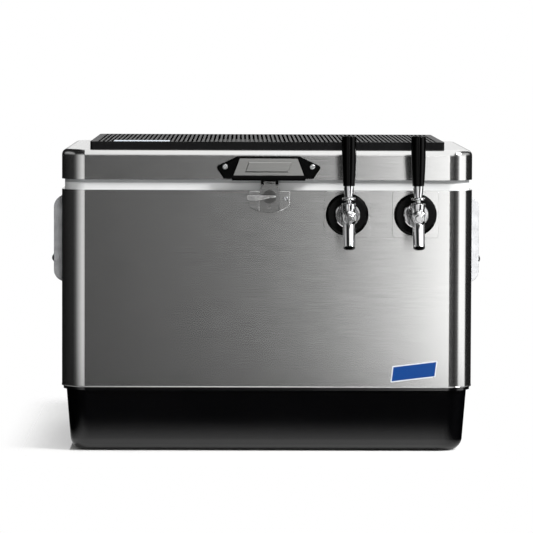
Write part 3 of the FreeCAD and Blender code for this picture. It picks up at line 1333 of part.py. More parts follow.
def hinge_leaf(x, spans, z0, z1, own, other):
    leaf = box(x - HINGE_HALF, x + HINGE_HALF, HALF_D, HALF_D + HINGE_LEAF_T, z0, z1)
    room = HINGE_KNUCKLE_R + BOND_GAP
    gaps = []
    barrels = []
    webs = []
    for a, b in spans[other]:
        start, end = V(x + a - FIT_GAP, HINGE_Y, HINGE_Z), V(x + b + FIT_GAP, HINGE_Y, HINGE_Z)
        gaps.append(rod(start, end, room))
    for a, b in spans[own]:
        start, end = V(x + a + FIT_GAP, HINGE_Y, HINGE_Z), V(x + b - FIT_GAP, HINGE_Y, HINGE_Z)
        barrels.append(rod(start, end, HINGE_KNUCKLE_R))
        low, high = sorted((HINGE_Z, z0 if own == 0 else z1))
        webs.append(box(start.x, end.x, HALF_D, HALF_D + HINGE_LEAF_T, low, high))
    return leaf.cut(gaps).fuse(webs + barrels), barrels


def make_hinge_leaves(own):
    spans = knuckle_spans()
    margin = HINGE_KNUCKLE_R + BOND_GAP
    if own == 0:
        z0, z1 = HINGE_Z - HINGE_BODY_DROP, HINGE_Z - margin
        screws = seats(hinge_screw_places(HINGE_BODY_SCREW_Z), AXIS_Y, screw_hole)
    else:
        z0, z1 = HINGE_Z + margin, HINGE_Z + HINGE_LID_RISE
        screws = seats(hinge_screw_places(HINGE_LID_SCREW_Z), AXIS_Y, screw_hole)
    leaves = []
    for x in HINGE_X:
        shape, _ = hinge_leaf(x, spans, z0, z1, own, 1 - own)
        pin_room = rod(V(x - HINGE_HALF - 1, HINGE_Y, HINGE_Z), V(x + HINGE_HALF + 1, HINGE_Y, HINGE_Z), HINGE_PIN_R + FIT_GAP / 2)
        leaves.append(shape.cut([pin_room] + screws).removeSplitter())
    return leaves


def make_hinge_pins():
    return [rod(V(x - HINGE_HALF, HINGE_Y, HINGE_Z), V(x + HINGE_HALF, HINGE_Y, HINGE_Z), HINGE_PIN_R) for x in HINGE_X]


# ---------------- drain ----------------
DRAIN_NUT_FACE = DRAIN_BOSS_OUT + DRAIN_NUT_T


def make_drain_spout():
    tube = rod_y(DRAIN_X, DRAIN_Z, CAVITY_Y - DRAIN_FLANGE_T, DRAIN_NUT_FACE + DRAIN_SPOUT_OUT - 4, DRAIN_R)
    flange = rod_y(DRAIN_X, DRAIN_Z, CAVITY_Y - DRAIN_FLANGE_T, CAVITY_Y, DRAIN_FLANGE_R)
    return tube.fuse(flange).cut(rod_y(DRAIN_X, DRAIN_Z, 0, HALF_D + WALL, DRAIN_BORE_R)).removeSplitter()


def make_drain_nut():
    return make_locknut(DRAIN_X, DRAIN_Z, DRAIN_BOSS_OUT, DRAIN_NUT_FACE, DRAIN_NUT_AF, DRAIN_R)


def make_drain_cap():
    start = DRAIN_NUT_FACE + BOND_GAP
    end = DRAIN_NUT_FACE + DRAIN_SPOUT_OUT
    cap = rod_y(DRAIN_X, DRAIN_Z, start, end, DRAIN_CAP_R)
    cap = cap.makeFillet(1.5, edges_at_y(cap, end))
    room = rod_y(DRAIN_X, DRAIN_Z, start - 1, end - DRAIN_CAP_TOP, DRAIN_R + FIT_GAP)
    grooves = []
    for i in range(DRAIN_CAP_RIBS):
        angle = 2 * math.pi * i / DRAIN_CAP_RIBS
        x = DRAIN_X + DRAIN_CAP_R * math.cos(angle)
        z = DRAIN_Z + DRAIN_CAP_R * math.sin(angle)
        grooves.append(rod_y(x, z, start - 1, end + 1, 1.0))
    return cap.cut([room] + grooves)


# ---------------- front label ----------------
def make_front_label():
    """A plain slanted label plate."""
    half_w, half_h = LABEL_W / 2, LABEL_H / 2
    corners = [
        V(-half_w - LABEL_SLANT / 2, 0, -half_h), V(half_w - LABEL_SLANT / 2, 0, -half_h),
        V(half_w + LABEL_SLANT / 2, 0, half_h), V(-half_w + LABEL_SLANT / 2, 0, half_h),
    ]
    label = extruded(corners, V(0, -LABEL_T, 0))
    label = label.makeFillet(1.5, at_edges(label, lambda e: abs(e.Length - LABEL_T) < 1e-4))
    label.rotate(V(0, 0, 0), AXIS_Y, -LABEL_TILT_DEG)
    label.translate(V(LABEL_X, front(0.0), LABEL_Z))
    return label


# ---------------- export ----------------
def export(name, shape):
    solids = shape if isinstance(shape, list) else [shape]
    for solid in solids:
        if not solid.isValid() or len(solid.Solids) != 1:
            print("CHECK", name, "valid", solid.isValid(), "solids", len(solid.Solids))
    whole = solids[0] if len(solids) == 1 else Part.makeCompound(solids)
    whole.exportStep("parts/" + name + ".step")


def main():
    os.makedirs("parts", exist_ok=True)
    single = {
        "base_tub": make_base_tub,
        "steel_jacket": make_steel_jacket,
        "body_foam": make_body_foam,
        "inner_liner": make_inner_liner,
        "lid_skin": make_lid_skin,
        "lid_foam": make_lid_foam,
        "lid_liner": make_lid_liner,
        "bar_mat": make_bar_mat,
        "mat_label": make_mat_label,
        "lid_handle": make_lid_handle,
        "handle_plate": lambda: handle_plate_solid(0.0),
        "hasp_pin": make_hasp_pin,
        "hasp": make_hasp,
        "latch_lever": make_latch_lever,
        "latch_cam": make_latch_cam,
        "strike_plate": make_strike_plate,
        "backing_plates": make_backing_plates,
        "shank_locknuts": make_shank_locknuts,
        "coil_bands": make_coil_bands,
        "inlet_locknuts": make_inlet_locknuts,
        "hose_barbs": make_hose_barbs,
        "hinge_body_leaves": lambda: make_hinge_leaves(0),
        "hinge_lid_leaves": lambda: make_hinge_leaves(1),
        "hinge_pins": make_hinge_pins,
        "drain_spout": make_drain_spout,
        "drain_nut": make_drain_nut,
        "drain_cap": make_drain_cap,
        "front_label": make_front_label,
        "body_screws": lambda: body_screws(screw),
        "lid_screws": lambda: lid_screws(screw),
    }
    for name, make in single.items():
        export(name, make())
    tap_parts = {
        "faucet_body": make_faucet_body,
        "faucet_bonnet": make_faucet_bonnet,
        "faucet_shaft": make_faucet_shaft,
        "tap_lever": make_tap_lever,
        "handle_ferrule": make_handle_ferrule,
        "tap_handle": make_tap_handle,
    }
    for side, x in zip(("left", "right"), TAP_X):
        for name, make in tap_parts.items():
            export(name + "_" + side, make(x))
    export("wall_flanges", [make_wall_flange(x) for x in TAP_X])
    export("shanks", [make_shank(x) for x in TAP_X])
    export("coupling_nuts", [make_coupling_nut(x) for x in TAP_X])
    for side, x in zip(("left", "right"), COIL_X):
        export("coil_" + side, make_coil(x))
    export("inlet_shanks", [make_inlet_shank(x) for x in COIL_X])
    routes = hose_points()
    for name, points in routes.items():
        export(name, make_hose(points))
    export("hose_clamps", make_hose_clamps(routes))
    for name, side in (("left", -1), ("right", 1)):
        export("side_bracket_" + name, make_side_bracket(side))
        export("side_bail_" + name, make_side_bail(side))
        export("side_grip_" + name, make_side_grip(side))


main()
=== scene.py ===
import math

import bpy
import numpy as np
from mathutils import Matrix, Vector


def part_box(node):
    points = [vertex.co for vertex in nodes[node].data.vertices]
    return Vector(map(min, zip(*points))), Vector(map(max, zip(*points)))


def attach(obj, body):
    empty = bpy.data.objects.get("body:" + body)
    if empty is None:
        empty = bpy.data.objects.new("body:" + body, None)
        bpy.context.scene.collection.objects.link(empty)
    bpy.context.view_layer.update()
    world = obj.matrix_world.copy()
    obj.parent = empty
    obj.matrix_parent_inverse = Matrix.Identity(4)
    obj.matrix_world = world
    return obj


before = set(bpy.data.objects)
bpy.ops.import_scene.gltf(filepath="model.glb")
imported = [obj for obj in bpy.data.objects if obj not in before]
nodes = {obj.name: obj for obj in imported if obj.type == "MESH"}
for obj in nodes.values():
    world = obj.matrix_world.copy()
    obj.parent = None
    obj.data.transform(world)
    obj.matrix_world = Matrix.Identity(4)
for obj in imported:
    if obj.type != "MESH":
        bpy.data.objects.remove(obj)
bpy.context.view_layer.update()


# ---- Camera ----
# A long lens stands a little left of centre and above the lid, looking slightly down at the front.
CAMERA_AT = Vector((-0.0386, -4.8852, 0.6325))
CAMERA_PITCH = math.radians(2.845)
CAMERA_YAW = math.radians(0.458)
CAMERA_ROLL = math.radians(0.199)
CAMERA_LENS = 211.48
CAMERA_SENSOR = 36.0
CAMERA_SHIFT = -0.15

ahead = Vector((
    math.sin(CAMERA_YAW) * math.cos(CAMERA_PITCH),
    math.cos(CAMERA_YAW) * math.cos(CAMERA_PITCH),
    -math.sin(CAMERA_PITCH),
))
level_right = Vector((math.cos(CAMERA_YAW), -math.sin(CAMERA_YAW), 0.0))
level_up = level_right.cross(ahead)
right = level_right * math.cos(CAMERA_ROLL) + level_up * math.sin(CAMERA_ROLL)
up = level_up * math.cos(CAMERA_ROLL) - level_right * math.sin(CAMERA_ROLL)
camera_data = bpy.data.cameras.new("camera")
camera_data.lens = CAMERA_LENS
camera_data.sensor_width = CAMERA_SENSOR
camera_data.shift_y = CAMERA_SHIFT
camera_data.clip_end = 60.0
camera = bpy.data.objects.new("camera", camera_data)
turn = Matrix((right, up, -ahead)).transposed().to_4x4()
camera.matrix_world = Matrix.Translation(CAMERA_AT) @ turn
bpy.context.scene.collection.objects.link(camera)
bpy.context.scene.camera = camera
bpy.context.scene.view_settings.view_transform = "Standard"


# ---- Floor ----
# A square of matt white table board under the cooler, with edges that fade into the white beyond it.
# The camera and the metal see it a little lifted, as in a high-key studio, and it keeps the shadow.
BOARD_WHITE = "fafaf9"
BOARD_LIFT = 0.45
BOARD_LOW = (-0.415, -0.37)
BOARD_HIGH = (0.35, 0.54)
BOARD_FADE = (0.105, 0.17)
# Painted shade: within these half sizes round the middle, the cooler's footprint, the board has no glow, so
# the metal sees a dark floor under the base.
BOARD_PAINTED_SHADE_HALF = (0.297, 0.196)
BOARD_STEPS = 9


def linear(code):
    """An sRGB hex code as linear red, green, blue and a full alpha."""
    parts = np.array([int(code[i:i + 2], 16) for i in (0, 2, 4)]) / 255.0
    line = np.where(parts <= 0.04045, parts / 12.92, ((parts + 0.055) / 1.055) ** 2.4)
    return (*line.tolist(), 1.0)


def put(tree, kind, inputs=None, **settings):
    """Adds one node, sets its properties, and fills its inputs with constants or other nodes' sockets."""
    made = tree.nodes.new(kind)
    for name, value in settings.items():
        setattr(made, name, value)
    for name, value in (inputs or {}).items():
        if isinstance(value, bpy.types.NodeSocket):
            tree.links.new(value, made.inputs[name])
        else:
            made.inputs[name].default_value = value
    return made


def new_material(name):
    """An empty node material and its tree."""
    material = bpy.data.materials.new(name)
    material.use_nodes = True
    material.node_tree.nodes.clear()
    return material, material.node_tree


def surface(tree, shader):
    """Makes a shader the material's surface."""
    put(tree, "ShaderNodeOutputMaterial", {"Surface": shader.outputs[0]})


def grid_mesh(name, points, smooth=True):
    """A mesh from a grid of points, rows by columns by 3, with one quad between each four neighbours."""
    rows, columns = points.shape[:2]
    mesh = bpy.data.meshes.new(name)
    index = np.arange(rows * columns).reshape(rows, columns)
    quads = np.stack([index[:-1, :-1], index[:-1, 1:], index[1:, 1:], index[1:, :-1]], axis=-1).reshape(-1, 4)
    mesh.vertices.add(rows * columns)
    mesh.vertices.foreach_set("co", points.reshape(-1).astype(np.float32))
    mesh.loops.add(quads.size)
    mesh.loops.foreach_set("vertex_index", quads.reshape(-1).astype(np.int32))
    mesh.polygons.add(len(quads))
    mesh.polygons.foreach_set("loop_start", np.arange(0, quads.size, 4, dtype=np.int32))
    mesh.polygons.foreach_set("use_smooth", np.full(len(quads), smooth))
    mesh.update(calc_edges=True)
    made = bpy.data.objects.new(name, mesh)
    bpy.context.scene.collection.objects.link(made)
    return made


def board_sheet():
    """A level rectangle: even steps from one side to the other along X and along Y, all at height zero."""
    x = np.linspace(BOARD_LOW[0], BOARD_HIGH[0], BOARD_STEPS)
    y = np.linspace(BOARD_LOW[1], BOARD_HIGH[1], BOARD_STEPS)
    points = np.zeros((len(y), len(x), 3))
    points[..., 0] = x[None, :]
    points[..., 1] = y[:, None]
    return points


def table_board():
    """Matt white, partly self-lit to the eye, and clear where a side is nearer than the fade's width. Over the
    cooler's footprint it has no glow: a painted shade under the base.
    """
    material, tree = new_material("table_board")
    place = put(tree, "ShaderNodeSeparateXYZ", {0: put(tree, "ShaderNodeTexCoord").outputs["Object"]})
    margins = []
    for i, axis in enumerate(("X", "Y")):
        for side, inward in ((BOARD_LOW[i], BOARD_FADE[i]), (BOARD_HIGH[i], -BOARD_FADE[i])):
            margins.append(put(tree, "ShaderNodeMapRange", {
                "Value": place.outputs[axis], "From Min": side, "From Max": side + inward},
                interpolation_type="SMOOTHSTEP"))
    solid = margins[0]
    for margin in margins[1:]:
        solid = put(tree, "ShaderNodeMath", {0: solid.outputs[0], 1: margin.outputs[0]}, operation="MULTIPLY")
    matt = put(tree, "ShaderNodeBsdfDiffuse", {"Color": linear(BOARD_WHITE)})
    glow = put(tree, "ShaderNodeEmission", {"Color": (1.0, 1.0, 1.0, 1.0), "Strength": 1.0})
    path = put(tree, "ShaderNodeLightPath")
    seen = put(tree, "ShaderNodeMath", {0: path.outputs["Is Camera Ray"], 1: path.outputs["Is Glossy Ray"]},
               operation="MAXIMUM")
    seen = put(tree, "ShaderNodeMath", {0: seen.outputs[0], 1: path.outputs["Is Transmission Ray"]},
               operation="MAXIMUM")
    # Painted shade: the glow is left out over the cooler's footprint.
    outside_painted_shade = None
    for axis, half in zip(("X", "Y"), BOARD_PAINTED_SHADE_HALF):
        size = put(tree, "ShaderNodeMath", {0: place.outputs[axis]}, operation="ABSOLUTE")
        beyond = put(tree, "ShaderNodeMath", {0: size.outputs[0], 1: half}, operation="GREATER_THAN")
        outside_painted_shade = beyond if outside_painted_shade is None else put(
            tree, "ShaderNodeMath", {0: outside_painted_shade.outputs[0], 1: beyond.outputs[0]}, operation="MAXIMUM")
    seen = put(tree, "ShaderNodeMath", {0: seen.outputs[0], 1: outside_painted_shade.outputs[0]}, operation="MULTIPLY")
    share = put(tree, "ShaderNodeMath", {0: seen.outputs[0], 1: BOARD_LIFT}, operation="MULTIPLY")
    lit = put(tree, "ShaderNodeMixShader", {0: share.outputs[0], 1: matt.outputs[0], 2: glow.outputs[0]})
    clear = put(tree, "ShaderNodeBsdfTransparent")
    surface(tree, put(tree, "ShaderNodeMixShader", {
        0: solid.outputs[0], 1: clear.outputs[0], 2: lit.outputs[0]}))
    return material


board = grid_mesh("table_board", board_sheet())
board.data.materials.append(table_board())


# ---- Black card ----
# A matt black card under the board and round it, out of the picture, that the camera, diffuse light and
# shadows pass through: only the metal and the gloss see it, as a painted dark reflection, and it keeps the
# black base black.
CARD_LOW = (-0.90, -0.80)
CARD_HIGH = (0.90, 0.25)
CARD_DOWN = 0.002


def reflection_only_black_card():
    """Dead black, with no sheen."""
    material, tree = new_material("reflection_only_black_card")
    surface(tree, put(tree, "ShaderNodeBsdfDiffuse", {"Color": (0.0, 0.0, 0.0, 1.0)}))
    return material


card_x, card_y = np.meshgrid([CARD_LOW[0], CARD_HIGH[0]], [CARD_LOW[1], CARD_HIGH[1]])
card = grid_mesh("reflection_only_black_card", np.stack([card_x, card_y, np.full((2, 2), -CARD_DOWN)], axis=-1))
card.data.materials.append(reflection_only_black_card())
# Hidden from the camera, diffuse light and shadows, so that it shows only as a painted dark reflection.
card.visible_camera = False
card.visible_diffuse = False
card.visible_shadow = False


# ---- Studio ----
# A dark room with a white backdrop behind the cooler, a narrow bright strip just right of the camera
# that makes the gradient over the steel, a strip at the left, and a wide panel at the right.
STUDIO_PEAK = 3.95
STUDIO_BY_ANGLE = (
    (-180, 1.0), (-177.5, 1.0), (-172, 0.012), (-100, 0.012), (-60, 0.02),
    (-48, 0.14), (-37, 0.46), (-24, 0.85), (-11.5, 1.2), (-9, 0.02),
    (-4, 0.0), (-1, 0.06), (3.4, 0.09), (5.1, 3.95), (8.4, 3.95), (9.4, 0.02),
    (46, 0.02), (56, 1.7), (88, 1.7), (94, 0.02), (172, 0.02), (177.5, 1.0), (180, 1.0),
)
# A glossy or clear surface sees the plain white backdrop beyond this angle, and levels above this height
# (the sine of the elevation) pass over from the walls to the ceiling.
STUDIO_BACKDROP_FROM = math.radians(176.5)
STUDIO_TOP_FROM = (0.10, 0.32)
STUDIO_BY_SIDE = (
    (-1.0, 0.5), (-0.80, 0.5), (-0.72, 0.02), (-0.12, 0.02), (-0.07, 1.4), (0.065, 1.5),
    (0.36, 1.5), (0.42, 0.05), (0.74, 0.05), (0.80, 0.8), (1.0, 0.8),
)


def studio_world():
    """Brightness by the compass angle round the cooler, with the camera at 0; overhead it goes by the side
    instead, and the backdrop behind the cooler is plain white."""
    world = bpy.data.worlds.new("studio")
    world.use_nodes = True
    tree = world.node_tree
    tree.nodes.clear()
    way = put(tree, "ShaderNodeSeparateXYZ", {0: put(tree, "ShaderNodeTexCoord").outputs["Generated"]})
    toward = put(tree, "ShaderNodeMath", {0: way.outputs["Y"], 1: -1.0}, operation="MULTIPLY")
    angle = put(tree, "ShaderNodeMath", {0: way.outputs["X"], 1: toward.outputs[0]}, operation="ARCTAN2")
    turn_share = put(tree, "ShaderNodeMapRange", {
        "Value": angle.outputs[0], "From Min": -math.pi, "From Max": math.pi})
    band = put(tree, "ShaderNodeValToRGB", {"Fac": turn_share.outputs[0]})
    stops = band.color_ramp.elements
    for i, (degrees, level) in enumerate(STUDIO_BY_ANGLE):
        stop = stops[i] if i < 2 else stops.new(1.0)
        stop.position = degrees / 360.0 + 0.5
        stop.color = (*[level / STUDIO_PEAK] * 3, 1.0)
    aside = put(tree, "ShaderNodeMath", {0: angle.outputs[0]}, operation="ABSOLUTE")
    overhead = put(tree, "ShaderNodeMapRange", {
        "Value": way.outputs["Z"], "From Min": STUDIO_TOP_FROM[0], "From Max": STUDIO_TOP_FROM[1]},
        interpolation_type="SMOOTHSTEP")
    side = put(tree, "ShaderNodeMapRange", {"Value": way.outputs["X"], "From Min": -1.0, "From Max": 1.0})
    top = put(tree, "ShaderNodeValToRGB", {"Fac": side.outputs[0]})
    stops = top.color_ramp.elements
    for i, (sideways, level) in enumerate(STUDIO_BY_SIDE):
        stop = stops[i] if i < 2 else stops.new(1.0)
        stop.position = (sideways + 1.0) / 2.0
        stop.color = (*[level / STUDIO_PEAK] * 3, 1.0)
    level = put(tree, "ShaderNodeMix", {
        0: overhead.outputs[0], 6: band.outputs["Color"], 7: top.outputs["Color"]}, data_type="RGBA")
    room = put(tree, "ShaderNodeBackground", {"Color": level.outputs[2], "Strength": STUDIO_PEAK})
    white = put(tree, "ShaderNodeBackground", {"Color": (1.0, 1.0, 1.0, 1.0), "Strength": 1.0})
    path = put(tree, "ShaderNodeLightPath")
    mirrored = put(tree, "ShaderNodeMath", {
        0: path.outputs["Is Glossy Ray"], 1: path.outputs["Is Transmission Ray"]}, operation="MAXIMUM")
    behind = put(tree, "ShaderNodeMath", {0: aside.outputs[0], 1: STUDIO_BACKDROP_FROM},
                 operation="GREATER_THAN")
    behind = put(tree, "ShaderNodeMath", {0: behind.outputs[0], 1: mirrored.outputs[0]}, operation="MULTIPLY")
    seen = put(tree, "ShaderNodeMath", {0: path.outputs["Is Camera Ray"], 1: behind.outputs[0]},
               operation="MAXIMUM")
    shown = put(tree, "ShaderNodeMixShader", {0: seen.outputs[0], 1: room.outputs[0], 2: white.outputs[0]})
    put(tree, "ShaderNodeOutputWorld", {"Surface": shown.outputs[0]})
    return world


def soft_panel(name, at, aim, width, power, mirrored):
    """A flat square lamp at a point, facing another point, that the metal mirrors or not."""
    lamp = bpy.data.lights.new(name, "AREA")
    lamp.shape = "SQUARE"
    lamp.size = width
    lamp.energy = power
    holder = bpy.data.objects.new(name, lamp)
    holder.visible_glossy = mirrored
    holder.visible_camera = False
    facing = Vector(aim) - Vector(at)
    holder.matrix_world = Matrix.Translation(at) @ facing.to_track_quat("-Z", "Y").to_matrix().to_4x4()
    bpy.context.scene.collection.objects.link(holder)


bpy.context.scene.world = studio_world()
soft_panel("panel_right", (2.8, -1.6, 2.9), (0.0, 0.0, 0.2), 1.1, 198.0, True)
soft_panel("panel_left", (-1.4, -2.6, 2.6), (0.0, 0.0, 0.3), 1.2, 10.0, False)


# ---- Steel jacket and lid skin ----
# Stainless sheet, brushed sideways by a belt, folded round the foam and hemmed at its edges. The
# brushing gives fine level lines and stretches every reflection up and down.
STEEL_COLOUR = "cacac9"
STEEL_ROUGH = 0.19
STEEL_ANISOTROPY = 0.84
# Real scratches are under 0.1 mm wide and would vanish between pixels, so they are drawn coarser.
BRUSH_LINE_MM = 0.8
BRUSH_LENGTH_MM = 50.0


def object_coordinates(tree, scale=(1.0, 1.0, 1.0), rotation=(0.0, 0.0, 0.0)):
    """The piece's own coordinates in metres, turned and scaled."""
    source = put(tree, "ShaderNodeTexCoord")
    mapped = put(tree, "ShaderNodeMapping", {
        "Vector": source.outputs["Object"], "Rotation": rotation, "Scale": scale})
    return mapped.outputs[0]


def brushed_steel(name, colour, rough, anisotropy, line_mm, length_mm, depth_mm, edge_mm=0.0):
    """Level scratches: noise drawn out along X and Y on upright faces and along X on level ones, and edges
    that are eased where edge_mm is given."""
    material, tree = new_material(name)
    fine, long = 1000.0 / line_mm, 1000.0 / length_mm
    upright = put(tree, "ShaderNodeTexNoise", {
        "Vector": object_coordinates(tree, (long, long, fine)), "Scale": 1.0, "Detail": 3.0, "Roughness": 0.6})
    level = put(tree, "ShaderNodeTexNoise", {
        "Vector": object_coordinates(tree, (long, fine, long)), "Scale": 1.0, "Detail": 3.0, "Roughness": 0.6})
    facing = put(tree, "ShaderNodeSeparateXYZ", {0: put(tree, "ShaderNodeNewGeometry").outputs["Normal"]})
    steep = put(tree, "ShaderNodeMath", {0: facing.outputs["Z"]}, operation="ABSOLUTE")
    grain = put(tree, "ShaderNodeMix", {
        0: steep.outputs[0], 2: upright.outputs["Fac"], 3: level.outputs["Fac"]}, data_type="FLOAT")
    roughness = put(tree, "ShaderNodeMapRange", {
        "Value": grain.outputs[0], "From Min": 0.3, "From Max": 0.7,
        "To Min": rough - 0.012, "To Max": rough + 0.014})
    tint = put(tree, "ShaderNodeMapRange", {
        "Value": grain.outputs[0], "From Min": 0.25, "From Max": 0.75, "To Min": 0.94, "To Max": 1.06})
    shade = put(tree, "ShaderNodeMix", {
        0: 1.0, 6: linear(colour), 7: tint.outputs[0]}, data_type="RGBA", blend_type="MULTIPLY")
    bump = put(tree, "ShaderNodeBump", {
        "Height": grain.outputs[0], "Strength": 0.02, "Distance": depth_mm / 1000.0})
    if edge_mm:
        edge = put(tree, "ShaderNodeBevel", {"Radius": edge_mm / 1000.0}, samples=6)
        tree.links.new(edge.outputs[0], bump.inputs["Normal"])
    normal = put(tree, "ShaderNodeNewGeometry").outputs["Normal"]
    along = put(tree, "ShaderNodeVectorMath", {0: (0.0, 0.05, 1.0), 1: normal}, operation="CROSS_PRODUCT")
    across = put(tree, "ShaderNodeVectorMath", {0: normal, 1: along.outputs[0]}, operation="CROSS_PRODUCT")
    surface(tree, put(tree, "ShaderNodeBsdfPrincipled", {
        "Base Color": shade.outputs[2], "Metallic": 1.0, "Roughness": roughness.outputs[0],
        "Anisotropic": anisotropy, "Normal": bump.outputs[0], "Tangent": across.outputs[0]}))
    return material


def dress(material, *names):
    """Gives every material slot of these nodes the one finish."""
    for name in names:
        slots = nodes[name].data.materials
        if not slots:
            slots.append(material)
        for i in range(len(slots)):
            slots[i] = material


brushed = brushed_steel("brushed_stainless", STEEL_COLOUR, STEEL_ROUGH, STEEL_ANISOTROPY,
                        BRUSH_LINE_MM, BRUSH_LENGTH_MM, 0.02)
dress(brushed, "steel_jacket", "lid_skin")

# The rolled hem along the jacket's lower edge stands out a little from the sheet.
JACKET_LOW, JACKET_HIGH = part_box("steel_jacket")
JACKET_CORNER = 0.036
BEAD_R = 0.0009
BEAD_OUT = 0.0004
BEAD_STEPS = 13


def hem_bead(low, high, corner, height):
    """A rounded rectangle swept by a small circle: straight sides joined by quarter turns, with the circle's
    angle across the columns."""
    half = np.array([high[0] - low[0], high[1] - low[1]]) / 2 + BEAD_OUT - BEAD_R
    middle = np.array([high[0] + low[0], high[1] + low[1]]) / 2
    turn = corner + BEAD_OUT - BEAD_R
    bend = np.linspace(0.0, math.pi / 2, BEAD_STEPS)
    path, outward = [], []
    for quarter, (sx, sy) in enumerate(((1, 1), (-1, 1), (-1, -1), (1, -1))):
        way = bend + quarter * math.pi / 2
        out = np.stack([np.cos(way), np.sin(way)], axis=-1)
        path.append(middle + np.array([sx, sy]) * (half - turn) + turn * out)
        outward.append(out)
    path, outward = np.concatenate(path), np.concatenate(outward)
    path, outward = np.concatenate([path, path[:1]]), np.concatenate([outward, outward[:1]])
    round_way = np.linspace(0.0, 2 * math.pi, BEAD_STEPS)
    points = np.zeros((len(path), len(round_way), 3))
    points[..., :2] = path[:, None, :] + BEAD_R * np.cos(round_way)[None, :, None] * outward[:, None, :]
    points[..., 2] = height + BEAD_R * np.sin(round_way)[None, :]
    points[:, -1] = points[:, 0]
    points[-1] = points[0]
    return points


hem = grid_mesh("jacket_hem", hem_bead(JACKET_LOW, JACKET_HIGH, JACKET_CORNER, JACKET_LOW[2] + BEAD_R))
hem.data.materials.append(brushed)
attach(hem, "cooler_body")


# ---- Base ----
# One moulded tub of black high-density polyethylene with a fine spark-eroded grain, glued under the
# foam. It gives a soft satin sheen and nearly no colour of its own.
BASE_BLACK = "030304"


def moulded_plastic(name, colour, rough, grain_mm, depth_mm, gloss=0.5):
    """Moulded plastic: an even colour with a fine pebbled bump and slightly uneven sheen."""
    material, tree = new_material(name)
    pebbles = put(tree, "ShaderNodeTexNoise", {
        "Vector": object_coordinates(tree), "Scale": 1000.0 / grain_mm, "Detail": 2.0, "Roughness": 0.55})
    wear = put(tree, "ShaderNodeTexNoise", {
        "Vector": object_coordinates(tree), "Scale": 18.0, "Detail": 4.0, "Roughness": 0.6})
    roughness = put(tree, "ShaderNodeMapRange", {
        "Value": wear.outputs["Fac"], "From Min": 0.3, "From Max": 0.7,
        "To Min": rough * 0.9, "To Max": rough * 1.12})
    bump = put(tree, "ShaderNodeBump", {
        "Height": pebbles.outputs["Fac"], "Strength": 0.15, "Distance": depth_mm / 1000.0})
    surface(tree, put(tree, "ShaderNodeBsdfPrincipled", {
        "Base Color": linear(colour), "Roughness": roughness.outputs[0], "Specular IOR Level": gloss,
        "Normal": bump.outputs[0]}))
    return material


dress(moulded_plastic("black_polyethylene", BASE_BLACK, 0.13, 1.1, 0.01, gloss=0.65), "base_tub")


# ---- Liner and rim ----
# The white inner tub and its rim are one moulding of food-grade polyethylene; the same white
# plastic makes the drain.
LINER_WHITE = "e9eaea"
white_plastic = moulded_plastic("white_polyethylene", LINER_WHITE, 0.38, 1.4, 0.03)
dress(white_plastic, "inner_liner", "drain_spout", "drain_nut", "drain_cap")


# ---- Lid liner ----
# The lid's inside, with its plug, in polyethylene coloured pale grey, darker than the white liner: a painted
# shade for the shadow under the lid skin's edge. Its edge shows as a narrow band.
dress(moulded_plastic("painted_shade_grey_polyethylene", "b2b4b5", 0.42, 1.4, 0.03), "lid_liner")


# ---- Foam ----
# Rigid polyurethane foam, poured in place between the shells. Its closed cells of about half a
# millimetre are drawn coarser, so that they can be seen.
FOAM_CELL_MM = 1.2


def poured_foam():
    """Small Voronoi cells darken the foam at their walls and pit its surface."""
    material, tree = new_material("poured_polyurethane_foam")
    cells = put(tree, "ShaderNodeTexVoronoi", {
        "Vector": object_coordinates(tree), "Scale": 1000.0 / FOAM_CELL_MM})
    colour = put(tree, "ShaderNodeMix", {
        0: cells.outputs["Distance"], 6: linear("e3d3a2"), 7: linear("c8b27a")}, data_type="RGBA")
    bump = put(tree, "ShaderNodeBump", {
        "Height": cells.outputs["Distance"], "Strength": 0.5, "Distance": 0.0003})
    surface(tree, put(tree, "ShaderNodeBsdfPrincipled", {
        "Base Color": colour.outputs[2], "Roughness": 0.9, "Normal": bump.outputs[0]}))
    return material


dress(poured_foam(), "body_foam", "lid_foam")


# ---- Bar mat ----
# A black rubber mat, compression moulded with ribs from front to back, that just lies on the lid.
RUBBER_GRAIN_MM = 0.8


def moulded_rubber():
    """Dull black rubber: fine grain, and a faint grey bloom in broad patches."""
    material, tree = new_material("moulded_rubber")
    grain = put(tree, "ShaderNodeTexNoise", {
        "Vector": object_coordinates(tree), "Scale": 1000.0 / RUBBER_GRAIN_MM, "Detail": 2.0,
        "Roughness": 0.5})
    bloom = put(tree, "ShaderNodeTexNoise", {
        "Vector": object_coordinates(tree), "Scale": 9.0, "Detail": 5.0, "Roughness": 0.65})
    colour = put(tree, "ShaderNodeMix", {
        0: bloom.outputs["Fac"], 6: linear("050506"), 7: linear("0d0d0e")}, data_type="RGBA")
    bump = put(tree, "ShaderNodeBump", {"Height": grain.outputs["Fac"], "Strength": 0.4, "Distance": 0.0001})
    surface(tree, put(tree, "ShaderNodeBsdfPrincipled", {
        "Base Color": colour.outputs[2], "Roughness": 0.45, "Specular IOR Level": 0.15,
        "Normal": bump.outputs[0]}))
    return material


dress(moulded_rubber(), "bar_mat")


# ---- Labels ----
# Printed film on thin plates, left without words: pale blue waves on the mat's plate, and a blue
# field with a white edge on the front one.
LABEL_LOW, LABEL_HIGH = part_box("front_label")
LABEL_TILT = math.radians(7.0)
LABEL_SIZE = (0.068, 0.024)
LABEL_SLANT = 0.006
LABEL_EDGE = 0.0016


